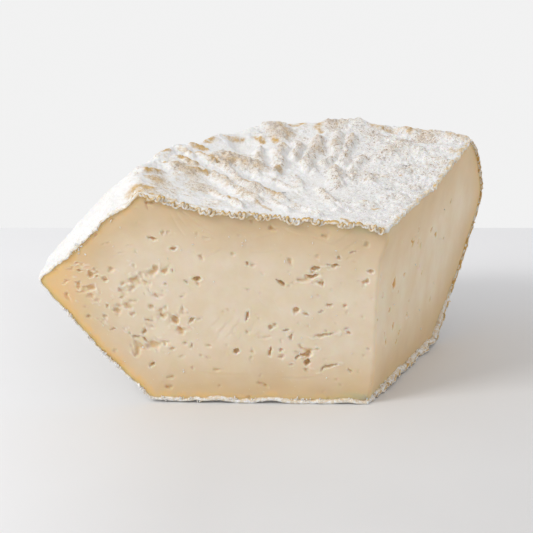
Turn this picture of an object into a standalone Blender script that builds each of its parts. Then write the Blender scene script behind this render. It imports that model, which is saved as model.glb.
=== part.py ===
"""A wedge cut from a small wheel of soft cheese with a bloomy rind.

The wheel lay flat, sagged a little in the middle, and bulged at the side to a blunt point about two
thirds of the way up. Two knife cuts meet at its axis: the front one nearly along -X and the right one
leaning outwards. The wedge is one solid. The rind's lip, folds and ridges are relief in it, and the
larger eyes in the paste are pits in the two cut faces.

Units are metres, +Z is up, and the origin is at the middle of the wedge's box, on the surface that it
rests on. Sizes below are in millimetres where a name or its comment says so.
"""

import math

import bmesh
import bpy
import numpy as np
from mathutils import Matrix, Vector, noise

MM = 0.001

# Where the wheel's axis meets the surface that the wedge rests on, in millimetres from the origin.
AXIS_X, AXIS_Y = 28.2, -49.3
# The cuts, as angles from -X round the back, and how far the edge between them leans to +X per rise.
FRONT_CUT = math.radians(1.5)
RIGHT_CUT = math.radians(113.5)
EDGE_LEAN = 0.096
# The top at the axis, where the wheel has sagged.
CENTRE_HEIGHT = 56.5

# The wheel's section at six places between the front cut (0) and the right cut (1). The lip is where
# the top turns into the side, and the tip is the furthest point of the side. The powers round the side
# above and below the tip: 1 is straight. All in millimetres but the share and the powers.
SECTION_NAMES = ("share", "lip_r", "lip_z", "tip_r", "tip_z", "base_r", "upper_power", "lower_power")
SECTIONS = (
    (0.00, 74.0, 66.5, 102.3, 39.0, 64.5, 1.03, 1.10),
    (0.12, 78.3, 68.5, 102.6, 40.2, 65.5, 1.25, 1.18),
    (0.35, 81.5, 69.1, 102.0, 40.5, 65.0, 1.50, 1.22),
    (0.62, 82.5, 69.4, 99.8, 41.0, 64.0, 1.60, 1.30),
    (0.86, 80.0, 68.0, 97.5, 41.2, 62.0, 1.70, 1.30),
    (1.00, 74.5, 66.1, 94.5, 41.4, 60.0, 1.80, 1.30),
)
CORNER_ROUNDING = 1.1

# The loft: steps round the wheel, points along each section and up the cut edge, the sizes of the
# rings in a cut's cap, and the triangles left once the rind is thinned out.
STEPS_ROUND = 128
POINTS_ON_TOP, POINTS_ON_UPPER_SIDE, POINTS_ON_LOWER_SIDE, POINTS_ON_BASE = 62, 26, 24, 14
POINTS_ON_EDGE = 15
# Within this distance of the axis the relief leans as the cut edge does, so that the steps don't fold.
UPRIGHT_WITHIN = 20.0
CAP_RINGS = (0.86, 0.62, 0.34)
TRIANGLES_OF_BODY = 9400

# Ridges and mounds of the top: both ends from the axis (x, y, x, y), half width, height
RIDGES = (
    (-43.3, 40.9, -37.0, 27.5, 1.6, 1.2), (-37.0, 27.5, -31.7, 22.6, 1.6, 1.1),
    (-46.2, 30.3, -40.9, 22.0, 1.7, 1.3), (-40.9, 22.0, -33.5, 13.8, 1.7, 1.3),
    (-46.8, 17.9, -41.6, 11.7, 1.4, 1.0), (-41.6, 11.7, -37.6, 6.6, 1.4, 1.0),
    (-37.0, 29.2, -30.2, 24.3, 1.5, 1.0), (-30.2, 24.3, -24.8, 17.8, 1.5, 1.0),
    (-31.8, 35.0, -26.2, 33.5, 1.4, 0.9), (-26.2, 33.5, -21.0, 27.0, 1.4, 0.9),
    (-53.3, 50.4, -49.2, 50.6, 1.3, 0.9), (-51.3, 46.0, -46.5, 42.7, 1.5, 1.0),
    (-57.6, 38.8, -52.0, 37.5, 1.5, 1.0), (-53.6, 32.4, -49.0, 31.7, 1.5, 0.9),
    (-57.5, 45.5, -54.3, 43.7, 1.3, 0.8), (-50.0, 58.3, -47.8, 59.6, 1.5, 0.8),
    (-43.7, 63.5, -37.3, 65.4, 1.5, 0.8), (-66.7, 20.2, -62.7, 23.5, 1.7, 0.8),
    (-65.3, 15.8, -63.2, 15.4, 1.4, 0.5), (-57.0, 31.2, -56.0, 30.0, 4.0, 0.9),
    (-51.0, 36.7, -47.2, 33.0, 1.5, 0.7), (-44.4, 47.7, -33.7, 43.7, 4.2, 1.5),
    (-26.0, 69.8, -28.0, 74.0, 4.2, 1.5), (-40.5, 64.0, -35.7, 59.7, 4.5, -1.5),
    (-31.8, 57.8, -32.1, 46.7, 1.5, 1.2), (-25.4, 59.6, -27.1, 39.5, 1.6, 1.5),
    (-34.0, 38.7, -33.6, 37.8, 1.7, 1.0), (-19.6, 64.5, -20.7, 54.6, 1.7, 1.4),
    (-20.2, 39.8, -20.0, 31.7, 1.5, 0.9), (-12.7, 67.6, -15.2, 57.4, 1.9, 1.6),
    (-15.2, 57.4, -18.3, 45.3, 1.8, 1.4), (-6.7, 71.5, -8.0, 59.8, 1.8, 1.5),
    (-8.0, 59.8, -11.8, 51.5, 1.7, 1.3), (-1.9, 69.8, -4.4, 62.0, 1.7, 1.2),
    (-4.4, 62.0, -6.7, 53.4, 1.7, 1.2), (0.2, 57.5, -2.6, 52.1, 1.7, 1.2),
    (-2.6, 52.1, -4.1, 44.6, 1.6, 1.0), (-8.2, 46.5, -9.3, 31.3, 2.0, 1.1),
    (2.1, 37.5, 2.4, 36.2, 2.4, 1.4), (3.6, 41.8, 3.9, 42.0, 1.5, 0.8),
    (-3.0, 48.4, -3.8, 37.1, 1.6, 0.9), (-16.1, 44.2, -15.8, 43.5, 1.6, 0.8),
    (-15.2, 28.1, -7.7, 14.9, 1.5, 1.0), (-13.5, 20.8, -8.9, 12.6, 1.3, 0.8),
    (-0.5, 19.7, 0.2, 19.9, 2.0, 1.0), (2.3, 15.1, 2.6, 15.2, 1.4, 0.7),
    (8.1, 61.7, 8.6, 61.8, 2.0, 0.6), (5.9, 56.8, 6.4, 56.9, 1.7, 0.6),
    (-22.0, 12.0, -16.0, 6.0, 1.6, 0.8), (-28.5, 14.0, -24.0, 7.5, 1.5, 0.8),
    (13.5, 66.0, 19.0, 62.0, 2.4, 0.5), (9.0, 49.0, 13.0, 47.0, 2.0, 0.5),
    (12.0, 37.0, 15.5, 34.0, 2.0, 0.5), (22.0, 57.0, 27.0, 53.0, 2.2, 0.5),
    (-58.0, 54.4, -53.0, 59.3, 4.5, -1.3), (-28.5, 74.3, -26.0, 75.1, 2.6, 0.9),
    (-21.4, 76.5, -21.0, 76.6, 2.0, -0.7), (-9.0, 79.0, 0.0, 79.4, 3.2, 0.8),
    (11.3, 77.2, 11.8, 77.1, 2.2, -1.2), (15.5, 76.1, 17.0, 75.7, 2.0, 0.6),
    (28.5, 69.8, 33.0, 67.8, 2.4, 0.7), (-47.0, 63.5, -43.0, 66.0, 2.4, 0.7),
)
RIDGE_WARP = 2.2
LUMP_HEIGHT, LUMP_SIZE = 0.9, 26.0
BUMP_HEIGHT, BUMP_SIZE = 0.6, 8.0
# A crease runs along the rim at the back right, and the front cut's shoulder has a dent.
CREASE_DEPTH, CREASE_WIDTH, CREASE_FROM = 0.7, 1.6, 0.70
CREASE_R_START, CREASE_R_END = 77.0, 69.0
DENT_DEPTH, DENT_R, DENT_WIDTH, DENT_REACH = 1.5, 78.6, 2.2, 7.0
# The base curls up by this much along the cuts, in waves of this length.
CURL_HEIGHT, CURL_WAVE, CURL_REACH = 1.3, 9.0, 3.5

# Eyes in the paste: distance from the cut edge, height, length, width, tilt and depth. The tilt is in
# degrees, anticlockwise as seen.
FRONT_EYES = (
    (69.3, 51.6, 2.8, 1.4, -20, 1.5),
    (62.9, 48.6, 3.0, 1.3, 10, 1.5),
    (54.9, 39.1, 3.4, 1.7, 0, 2.5),
    (67.7, 42.4, 2.8, 1.8, 60, 1.2),
    (73.6, 39.5, 4.2, 1.5, 45, 1.2),
    (40.4, 44.0, 1.8, 1.7, 0, 1.4),
    (29.6, 38.3, 3.0, 1.4, -20, 2.5),
    (38.9, 27.7, 4.0, 1.3, 80, 2.0),
    (31.6, 24.3, 1.9, 1.7, 0, 1.5),
    (24.5, 29.4, 2.8, 2.2, 30, 1.2),
    (63.9, 28.0, 3.2, 1.9, -40, 1.5),
    (60.1, 25.8, 3.4, 2.0, -55, 2.0),
    (55.3, 26.4, 3.0, 1.4, 45, 1.5),
    (69.4, 22.6, 3.0, 1.4, 60, 1.4),
    (68.9, 19.6, 2.6, 1.4, -50, 1.4),
    (41.3, 16.4, 2.1, 1.7, 0, 2.0),
    (30.8, 16.3, 3.6, 1.4, 85, 2.0),
    (25.7, 21.9, 2.4, 1.7, 20, 1.5),
    (21.1, 15.8, 4.2, 1.6, 15, 2.2),
    (19.4, 12.4, 3.0, 1.3, 85, 2.2),
    (15.1, 21.9, 6.5, 1.2, 8, 1.2),
    (13.1, 11.9, 5.5, 1.2, 25, 1.2),
    (19.7, 43.2, 4.2, 1.2, 15, 1.8),
    (20.2, 39.9, 4.6, 1.5, 0, 2.5),
    (13.8, 43.8, 2.5, 1.2, 0, 1.5),
    (86.9, 40.6, 2.6, 1.7, -45, 1.2),
    (82.1, 38.4, 2.4, 1.3, -50, 1.2),
)
RIGHT_EYES = (
    (13.6, 34.4, 4.6, 2.2, 80, 2.0),
    (34.9, 40.2, 3.0, 1.4, 75, 1.4),
    (25.7, 44.4, 2.6, 1.4, 70, 1.2),
    (49.6, 39.8, 4.2, 3.0, 70, 1.6),
    (21.6, 13.2, 2.4, 2.0, 60, 1.5),
    (10.4, 16.6, 3.4, 1.5, 85, 1.2),
)

PASTE_COLOUR = (0.70, 0.57, 0.40, 1.0)
PASTE_ROUGHNESS = 0.55


def sizes_at(share):
    """The section's sizes at a share of the way round, easing from each listed place to the next."""
    places = np.array(SECTIONS)
    index = min(int(np.searchsorted(places[:, 0], share, side="right")) - 1, len(places) - 2)
    before, after = places[index], places[index + 1]
    way = (share - before[0]) / (after[0] - before[0])
    eased = way * way * (3 - 2 * way)
    return dict(zip(SECTION_NAMES, before + (after - before) * eased))


def rounded(curve, reach):
    """A curve with its corners rounded: each point becomes the mean of its neighbours within reach."""
    length = np.concatenate([[0], np.cumsum(np.linalg.norm(np.diff(curve, axis=0), axis=1))])
    weight = np.exp(-0.5 * ((length[:, None] - length[None, :]) / reach) ** 2)
    mean = weight @ curve / weight.sum(1, keepdims=True)
    near_end = np.minimum(length, length[-1] - length) / (3 * reach)
    keep = np.clip(1 - near_end, 0, 1)[:, None]
    return curve * keep + mean * (1 - keep)


def section(share):
    """Points (distance from the cut edge, height) of the section, from the axis over the top, down the
    side and back along the base."""
    size = sizes_at(share)
    out = np.linspace(0, 1, POINTS_ON_TOP)
    rise = 0.45 * out + 0.55 * out**4
    top = np.column_stack([out * size["lip_r"], CENTRE_HEIGHT + (size["lip_z"] - CENTRE_HEIGHT) * rise])
    down = np.linspace(0, 1, POINTS_ON_UPPER_SIDE + 1)[1:]
    upper = np.column_stack([
        size["tip_r"] - (size["tip_r"] - size["lip_r"]) * (1 - down) ** size["upper_power"],
        size["lip_z"] + (size["tip_z"] - size["lip_z"]) * down,
    ])
    under = np.linspace(0, 1, POINTS_ON_LOWER_SIDE + 1)[1:]
    lower = np.column_stack([
        size["tip_r"] - (size["tip_r"] - size["base_r"]) * under ** size["lower_power"],
        size["tip_z"] * (1 - under),
    ])
    back = np.linspace(1, 0, POINTS_ON_BASE + 1)[1:]
    base = np.column_stack([back * size["base_r"], 0 * back])
    return rounded(np.concatenate([top, upper, lower, base]), CORNER_ROUNDING)


def fractal(points, size, octaves=3):
    """Smooth noise with detail down to a fraction of size, for each point, about -1 to 1."""
    return np.array([noise.fractal(Vector(p) / size, 1.0, 2.0, octaves) for p in points])


def cut_gaps(points):
    """Distances in millimetres from the front cut and from the right one."""
    front = np.abs(points[:, 1] * math.cos(FRONT_CUT) + points[:, 0] * math.sin(FRONT_CUT))
    leaned = points[:, 0] - EDGE_LEAN * points[:, 2]
    right = np.abs(points[:, 1] * math.cos(RIGHT_CUT) + leaned * math.sin(RIGHT_CUT))
    return front, right


def ridges(points):
    """Height of the ridges and mounds, in millimetres, for points in millimetres from the axis."""
    x = points[:, 0] + RIDGE_WARP * fractal(points + 30.0, 9.0, 2)
    y = points[:, 1] + RIDGE_WARP * fractal(points + 55.0, 9.0, 2)
    raised, sunk = np.zeros(len(points)), np.zeros(len(points))
    for x0, y0, x1, y1, half_width, height in RIDGES:
        dx, dy = x1 - x0, y1 - y0
        way = np.clip(((x - x0) * dx + (y - y0) * dy) / (dx * dx + dy * dy), 0, 1)
        apart = ((x - x0 - way * dx) ** 2 + (y - y0 - way * dy) ** 2) / half_width ** 2
        bump = height * np.exp(-apart ** 1.3)
        raised, sunk = np.maximum(raised, bump), np.minimum(sunk, bump)
    return raised * np.clip(0.98 + 0.6 * fractal(points + 90.0, 5.0, 2), 0.35, 1.35) + sunk


def folds(points):
    """The crease along the rim and the dent in the front shoulder, in millimetres."""
    leaned = points[:, 0] - EDGE_LEAN * points[:, 2]
    radius = np.hypot(leaned, points[:, 1])
    share = (np.arctan2(points[:, 1], -leaned) - FRONT_CUT) / (RIGHT_CUT - FRONT_CUT)
    way = np.clip((share - CREASE_FROM) / (1 - CREASE_FROM), 0, 1)
    crease_r = CREASE_R_START + (CREASE_R_END - CREASE_R_START) * way
    crease = np.exp(-((radius - crease_r) / CREASE_WIDTH) ** 2) * np.clip(3 * way, 0, 1)
    dent = np.exp(-((radius - DENT_R) / DENT_WIDTH) ** 2 - (cut_gaps(points)[0] / DENT_REACH) ** 2)
    high = np.clip((points[:, 2] - 48) / 6, 0, 1)
    return -(CREASE_DEPTH * crease + DENT_DEPTH * dent) * high


def relief(points, normals):
    """How far the rind stands out of the plain form, in millimetres, along each point's normal."""
    flatness = np.clip((normals[:, 2] - 0.68) / 0.22, 0, 1)
    on_side = np.clip((points[:, 2] - 3.0) / 6.0, 0, 1)
    top = (ridges(points) - 0.35) * flatness
    lumps = LUMP_HEIGHT * fractal(points, LUMP_SIZE, 2)
    bumps = BUMP_HEIGHT * fractal(points + 40.0, BUMP_SIZE, 2)
    return (top + lumps + bumps + folds(points)) * on_side


def curl(points):
    """How far the base is lifted along the two cuts, in millimetres."""
    near = np.exp(-(np.minimum(*cut_gaps(points)) / CURL_REACH) ** 2)
    wave = np.clip(0.35 + 1.1 * fractal(points + 70.0, CURL_WAVE, 1), 0, 1)
    low = np.clip(1 - points[:, 2] / 4.0, 0, 1)
    from_axis = np.clip(np.hypot(points[:, 0], points[:, 1]) / 8.0, 0, 1)
    return CURL_HEIGHT * wave * near * low * from_axis


def loft_points():
    """The rind's points as a grid, [step round, point along the section], in millimetres from the
    axis, with the relief added. The sections' first and last points lie on the cut edge."""
    shares = np.linspace(0, 1, STEPS_ROUND + 1)
    angles = FRONT_CUT + (RIGHT_CUT - FRONT_CUT) * shares
    curves = np.stack([section(share) for share in shares])
    distance, height = curves[..., 0], curves[..., 1]
    plain = np.stack([
        EDGE_LEAN * height - distance * np.cos(angles)[:, None],
        distance * np.sin(angles)[:, None],
        height,
    ], axis=-1)
    round_wheel = np.gradient(plain, axis=0)
    along_section = np.gradient(plain, axis=1)
    normals = np.cross(round_wheel, along_section)
    length = np.linalg.norm(normals, axis=-1, keepdims=True)
    normals = normals / np.maximum(length, 1e-9)
    side = np.where(height > CENTRE_HEIGHT / 2, 1.0, -1.0)[..., None]
    from_axis = np.clip(distance / UPRIGHT_WITHIN, 0, 1)[..., None]
    normals = normals * from_axis + side * (EDGE_LEAN, 0, 1) * (1 - from_axis)
    flat, flat_normals = plain.reshape(-1, 3), normals.reshape(-1, 3)
    moved = flat + flat_normals * relief(flat, flat_normals)[:, None]
    moved[:, 2] += curl(flat)
    moved = moved.reshape(plain.shape)
    top = moved[0, 0, 2]
    moved[:, 0] = (EDGE_LEAN * top, 0.0, top)
    moved[:, -1] = (0.0, 0.0, 0.0)
    for step in (0, -1):
        moved[step] = into_cut(moved[step], angles[step])
    return moved


def cut_axes(angle):
    """The directions along a cut and up its leaning edge, and the cut's outward normal."""
    along = np.array([-math.cos(angle), math.sin(angle), 0.0])
    up = np.array([EDGE_LEAN, 0.0, 1.0])
    normal = np.cross(along, up)
    normal /= np.linalg.norm(normal)
    outward = -normal if angle == FRONT_CUT else normal
    return along, up, outward


def into_cut(points, angle):
    """Points moved square to a cut until they lie in it."""
    outward = cut_axes(angle)[2]
    return points - (points @ outward)[:, None] * outward


def add_cap(shape, outline):
    """A flat cap over a cut: rings of faces that shrink from the outline to its middle."""
    middle = sum((v.co for v in outline), Vector()) / len(outline)
    outer = outline
    for scale in CAP_RINGS:
        inner = [shape.verts.new(middle.lerp(v.co, scale)) for v in outline[::2]]
        for i, vertex in enumerate(inner):
            corners = [outer[(2 * i + k) % len(outer)] for k in range(3)] if outer is outline else None
            following = inner[(i + 1) % len(inner)]
            if corners:
                shape.faces.new([*corners, following, vertex])
            else:
                shape.faces.new([outer[i], outer[(i + 1) % len(outer)], following, vertex])
        outer = inner
    centre = shape.verts.new(middle)
    for i, vertex in enumerate(outer):
        shape.faces.new([vertex, outer[(i + 1) % len(outer)], centre])


def add_body(collection):
    """The wedge without its eyes: a loft between the sections, closed by the two cuts."""
    grid = loft_points() + np.array([AXIS_X, AXIS_Y, 0.0])
    shape = bmesh.new()
    top, base = grid[0, 0] * MM, grid[0, -1] * MM
    shares = np.linspace(0, 1, POINTS_ON_EDGE + 1)[:, None]
    edge = [shape.verts.new(p) for p in base + (top - base) * shares]
    rows = [[edge[-1], *(shape.verts.new(p * MM) for p in row[1:-1]), edge[0]] for row in grid]
    for row, following in zip(rows, rows[1:]):
        for i in range(len(row) - 1):
            corners = [row[i], following[i], following[i + 1], row[i + 1]]
            shape.faces.new(list(dict.fromkeys(corners)))
    add_cap(shape, rows[0] + edge[1:-1])
    add_cap(shape, rows[-1] + edge[1:-1])
    bmesh.ops.recalc_face_normals(shape, faces=shape.faces)
    mesh = bpy.data.meshes.new("cheese")
    shape.to_mesh(mesh)
    body = bpy.data.objects.new("cheese", mesh)
    collection.objects.link(body)
    rind = body.vertex_groups.new(name="rind")
    shape.verts.index_update()
    rind.add([v.index for row in rows[2:-2] for v in row[2:-2]], 1.0, "REPLACE")
    mesh.calc_loop_triangles()
    fewer = body.modifiers.new("fewer triangles", "DECIMATE")
    fewer.ratio = TRIANGLES_OF_BODY / len(mesh.loop_triangles)
    fewer.vertex_group = rind.name
    shape.free()
    return body


def add_eyes(collection, name, eyes, angle):
    """Stretched round cutters, one for each eye, sunk nearly halfway into a cut."""
    along, up, outward = (Vector(v) for v in cut_axes(angle))
    rightwards = Vector((0.0, 0.0, 1.0)).cross(outward).normalized()
    upwards = outward.cross(rightwards)
    for number, (distance, height, length, width, tilt, depth) in enumerate(eyes, 1):
        bpy.ops.mesh.primitive_ico_sphere_add(subdivisions=2, radius=1.0)
        eye = bpy.context.object
        eye.name = f"{name}_eye_{number:02d}"
        turn = Matrix.Rotation(math.radians(tilt), 4, "Z")
        stretch = Matrix.Diagonal((length / 2 * MM, width / 2 * MM, depth * MM, 1.0))
        frame = Matrix((rightwards, upwards, outward)).transposed().to_4x4()
        place = along * distance + up * height + outward * (0.13 * depth) + Vector((AXIS_X, AXIS_Y, 0.0))
        eye.data.transform(Matrix.Translation(place * MM) @ frame @ turn @ stretch)
        eye.data.update()
        eye.hide_render = True
        eye.display_type = "WIRE"
        for holder in list(eye.users_collection):
            holder.objects.unlink(eye)
        collection.objects.link(eye)


def paste_material():
    """Ivory paste and pale rind as one plain finish."""
    material = bpy.data.materials.new("cheese")
    material.use_nodes = True
    shader = material.node_tree.nodes["Principled BSDF"]
    shader.inputs["Base Color"].default_value = PASTE_COLOUR
    shader.inputs["Roughness"].default_value = PASTE_ROUGHNESS
    shader.inputs["Metallic"].default_value = 0.0
    return material


def main():
    for old in list(bpy.data.objects):
        bpy.data.objects.remove(old)
    scene = bpy.context.scene
    parts = bpy.data.collections.new("cheese_wedge")
    cutters = bpy.data.collections.new("cutters")
    scene.collection.children.link(parts)
    scene.collection.children.link(cutters)
    body = add_body(parts)
    body.data.materials.append(paste_material())
    add_eyes(cutters, "front", FRONT_EYES, FRONT_CUT)
    add_eyes(cutters, "right", RIGHT_EYES, RIGHT_CUT)
    eyes = body.modifiers.new("eyes", "BOOLEAN")
    eyes.operation = "DIFFERENCE"
    eyes.operand_type = "COLLECTION"
    eyes.collection = cutters
    eyes.solver = "EXACT"


main()
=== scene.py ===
"""A wedge of a soft ripened cheese wheel, cut side forward: pale wrinkled rind over ivory paste full of
small eyes. Sizes are in millimetres from the foot of the edge where the two cuts meet."""

import math
import random

import bmesh
import bpy
import numpy as np
from mathutils import Euler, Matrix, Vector, noise


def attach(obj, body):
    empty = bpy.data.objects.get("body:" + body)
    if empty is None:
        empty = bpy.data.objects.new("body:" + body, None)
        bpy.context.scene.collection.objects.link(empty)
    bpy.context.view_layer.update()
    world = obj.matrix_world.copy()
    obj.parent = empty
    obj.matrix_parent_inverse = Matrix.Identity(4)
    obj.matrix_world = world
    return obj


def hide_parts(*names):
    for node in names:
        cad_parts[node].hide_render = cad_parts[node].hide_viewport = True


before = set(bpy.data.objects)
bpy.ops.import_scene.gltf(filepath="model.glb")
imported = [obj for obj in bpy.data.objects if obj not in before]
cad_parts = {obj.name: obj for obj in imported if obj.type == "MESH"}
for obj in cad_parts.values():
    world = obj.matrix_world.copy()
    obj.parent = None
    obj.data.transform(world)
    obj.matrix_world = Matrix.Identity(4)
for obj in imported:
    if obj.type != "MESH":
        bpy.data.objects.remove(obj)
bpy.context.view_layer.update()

MM = 0.001

# Place of the wheel's axis, and the directions of the two cuts
AXIS_X = 28.2
AXIS_Y = -49.3
FRONT_CUT = math.radians(1.5)
RIGHT_CUT = math.radians(113.5)
CUTS = {"front": FRONT_CUT, "right": RIGHT_CUT}
EDGE_LEAN = 0.096
CENTRE_HEIGHT = 56.5

# Section sizes at shares of the way round from the front cut to the right one
SECTION_NAMES = ("lip_r", "lip_z", "tip_r", "tip_z", "base_r", "upper_power", "lower_power")
SECTIONS = (
    (0.00, 74.0, 66.5, 102.3, 39.0, 64.5, 1.03, 1.10),
    (0.12, 78.3, 68.5, 102.6, 40.2, 65.5, 1.25, 1.18),
    (0.35, 81.5, 69.1, 102.0, 40.5, 65.0, 1.50, 1.22),
    (0.62, 82.5, 69.4, 99.8, 41.0, 64.0, 1.60, 1.30),
    (0.86, 80.0, 68.0, 97.5, 41.2, 62.0, 1.70, 1.30),
    (1.00, 74.5, 66.1, 94.5, 41.4, 60.0, 1.80, 1.30),
)
CORNER_ROUNDING = 1.1
POINTS_ON_TOP = 248
POINTS_ON_UPPER_SIDE = 104
POINTS_ON_LOWER_SIDE = 96
POINTS_ON_BASE = 56
SHARES = 49
UPRIGHT_WITHIN = 20.0

# Relief of the rind
# Ridges and mounds of the top: both ends from the axis (x, y, x, y), half width, height
RIDGES = (
    (-43.3, 40.9, -37.0, 27.5, 1.6, 1.2), (-37.0, 27.5, -31.7, 22.6, 1.6, 1.1),
    (-46.2, 30.3, -40.9, 22.0, 1.7, 1.3), (-40.9, 22.0, -33.5, 13.8, 1.7, 1.3),
    (-46.8, 17.9, -41.6, 11.7, 1.4, 1.0), (-41.6, 11.7, -37.6, 6.6, 1.4, 1.0),
    (-37.0, 29.2, -30.2, 24.3, 1.5, 1.0), (-30.2, 24.3, -24.8, 17.8, 1.5, 1.0),
    (-31.8, 35.0, -26.2, 33.5, 1.4, 0.9), (-26.2, 33.5, -21.0, 27.0, 1.4, 0.9),
    (-53.3, 50.4, -49.2, 50.6, 1.3, 0.9), (-51.3, 46.0, -46.5, 42.7, 1.5, 1.0),
    (-57.6, 38.8, -52.0, 37.5, 1.5, 1.0), (-53.6, 32.4, -49.0, 31.7, 1.5, 0.9),
    (-57.5, 45.5, -54.3, 43.7, 1.3, 0.8), (-50.0, 58.3, -47.8, 59.6, 1.5, 0.8),
    (-43.7, 63.5, -37.3, 65.4, 1.5, 0.8), (-66.7, 20.2, -62.7, 23.5, 1.7, 0.8),
    (-65.3, 15.8, -63.2, 15.4, 1.4, 0.5), (-57.0, 31.2, -56.0, 30.0, 4.0, 0.9),
    (-51.0, 36.7, -47.2, 33.0, 1.5, 0.7), (-44.4, 47.7, -33.7, 43.7, 4.2, 1.5),
    (-26.0, 69.8, -28.0, 74.0, 4.2, 1.5), (-40.5, 64.0, -35.7, 59.7, 4.5, -1.5),
    (-31.8, 57.8, -32.1, 46.7, 1.5, 1.2), (-25.4, 59.6, -27.1, 39.5, 1.6, 1.5),
    (-34.0, 38.7, -33.6, 37.8, 1.7, 1.0), (-19.6, 64.5, -20.7, 54.6, 1.7, 1.4),
    (-20.2, 39.8, -20.0, 31.7, 1.5, 0.9), (-12.7, 67.6, -15.2, 57.4, 1.9, 1.6),
    (-15.2, 57.4, -18.3, 45.3, 1.8, 1.4), (-6.7, 71.5, -8.0, 59.8, 1.8, 1.5),
    (-8.0, 59.8, -11.8, 51.5, 1.7, 1.3), (-1.9, 69.8, -4.4, 62.0, 1.7, 1.2),
    (-4.4, 62.0, -6.7, 53.4, 1.7, 1.2), (0.2, 57.5, -2.6, 52.1, 1.7, 1.2),
    (-2.6, 52.1, -4.1, 44.6, 1.6, 1.0), (-8.2, 46.5, -9.3, 31.3, 2.0, 1.1),
    (2.1, 37.5, 2.4, 36.2, 2.4, 1.4), (3.6, 41.8, 3.9, 42.0, 1.5, 0.8),
    (-3.0, 48.4, -3.8, 37.1, 1.6, 0.9), (-16.1, 44.2, -15.8, 43.5, 1.6, 0.8),
    (-15.2, 28.1, -7.7, 14.9, 1.5, 1.0), (-13.5, 20.8, -8.9, 12.6, 1.3, 0.8),
    (-0.5, 19.7, 0.2, 19.9, 2.0, 1.0), (2.3, 15.1, 2.6, 15.2, 1.4, 0.7),
    (8.1, 61.7, 8.6, 61.8, 2.0, 0.6), (5.9, 56.8, 6.4, 56.9, 1.7, 0.6),
    (-22.0, 12.0, -16.0, 6.0, 1.6, 0.8), (-28.5, 14.0, -24.0, 7.5, 1.5, 0.8),
    (13.5, 66.0, 19.0, 62.0, 2.4, 0.5), (9.0, 49.0, 13.0, 47.0, 2.0, 0.5),
    (12.0, 37.0, 15.5, 34.0, 2.0, 0.5), (22.0, 57.0, 27.0, 53.0, 2.2, 0.5),
    (-58.0, 54.4, -53.0, 59.3, 4.5, -1.3), (-28.5, 74.3, -26.0, 75.1, 2.6, 0.9),
    (-21.4, 76.5, -21.0, 76.6, 2.0, -0.7), (-9.0, 79.0, 0.0, 79.4, 3.2, 0.8),
    (11.3, 77.2, 11.8, 77.1, 2.2, -1.2), (15.5, 76.1, 17.0, 75.7, 2.0, 0.6),
    (28.5, 69.8, 33.0, 67.8, 2.4, 0.7), (-47.0, 63.5, -43.0, 66.0, 2.4, 0.7),
)
RIDGE_WARP = 2.2
LUMP_HEIGHT = 0.9
LUMP_SIZE = 26.0
BUMP_HEIGHT = 0.6
BUMP_SIZE = 8.0
CREASE_DEPTH = 0.7
CREASE_WIDTH = 1.6
CREASE_FROM = 0.70
CREASE_R_START = 77.0
CREASE_R_END = 69.0
DENT_DEPTH = 1.5
DENT_R = 78.6
DENT_WIDTH = 2.2
DENT_REACH = 7.0
CURL_HEIGHT = 1.3
CURL_WAVE = 9.0
CURL_REACH = 3.5

# Finer relief, on the rind only
WRINKLE_HEIGHT = 0.40
WRINKLE_SIZE = 3.0
WORM_HEIGHT = 0.42
WORM_SIZE = 2.3
PIMPLE_HEIGHT = 0.16
PIMPLE_SIZE = 1.3
RAGGED_HEIGHT = 0.45
RAGGED_SIZE = 2.6
RAGGED_REACH = 3.0

# Rows of the rind: spacing along the section in each part, and columns round the wheel
ROW_STEPS = (0.40, 0.68, 0.84, 1.15)
MOST_COLUMNS = 336
FEWER_COLUMNS_BELOW = (33.0, 16.0, 8.0)
INNER_COLUMNS = 12
INNER_INSET = 4.6

# Profile of the rind's lip: share of its width outwards, and share of its thickness down the cut
LIP_PROFILE = ((0.55, 0.03), (0.95, 0.22), (1.0, 0.5), (0.9, 0.78), (0.6, 0.97), (0.1, 1.04))
LIP_END = (-0.8, 1.05)

# Width outwards and thickness of the lip at places along the section: 0 to 1 is the top, 1 to 2 the
# upper side, 2 to 3 the lower side, and 3 to 4 the base
FRONT_LIP = (
    (0.00, 0.5, 1.0), (0.06, 0.4, 0.7), (0.10, 0.4, 0.7), (0.55, 0.35, 0.8), (0.70, 0.55, 1.3),
    (0.96, 0.60, 1.6), (1.08, 0.28, 1.0), (1.20, 0.20, 0.85), (1.75, 0.20, 0.8), (1.95, 0.08, 0.5),
    (2.10, 0.20, 0.35), (2.60, 0.22, 0.4), (2.90, 0.25, 0.5), (3.05, 0.35, 0.8), (3.20, 0.6, 1.1),
    (3.70, 0.7, 1.2), (4.00, 0.7, 1.2),
)
RIGHT_LIP = (
    (0.00, 0.5, 1.2), (0.06, 0.5, 1.1), (0.30, 0.3, 0.8), (0.90, 0.3, 0.8), (1.10, 0.25, 0.7),
    (1.60, 0.2, 0.5), (2.20, 0.15, 0.45), (2.60, 0.3, 0.8), (2.85, 0.9, 1.5), (3.10, 1.3, 1.8),
    (3.70, 1.2, 1.6), (4.00, 0.7, 1.2),
)
# How golden the lip is at places along the section
FRONT_LIP_TONE = (
    (0.0, 0.8), (0.8, 0.9), (1.0, 1.0), (1.15, 0.9), (1.8, 0.85), (1.95, 0.5), (2.9, 0.2),
    (3.1, 0.55), (4.0, 0.6),
)
RIGHT_LIP_TONE = ((0.0, 0.5), (1.0, 0.5), (1.2, 0.6), (2.5, 0.5), (2.8, 0.45), (4.0, 0.45))
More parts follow.
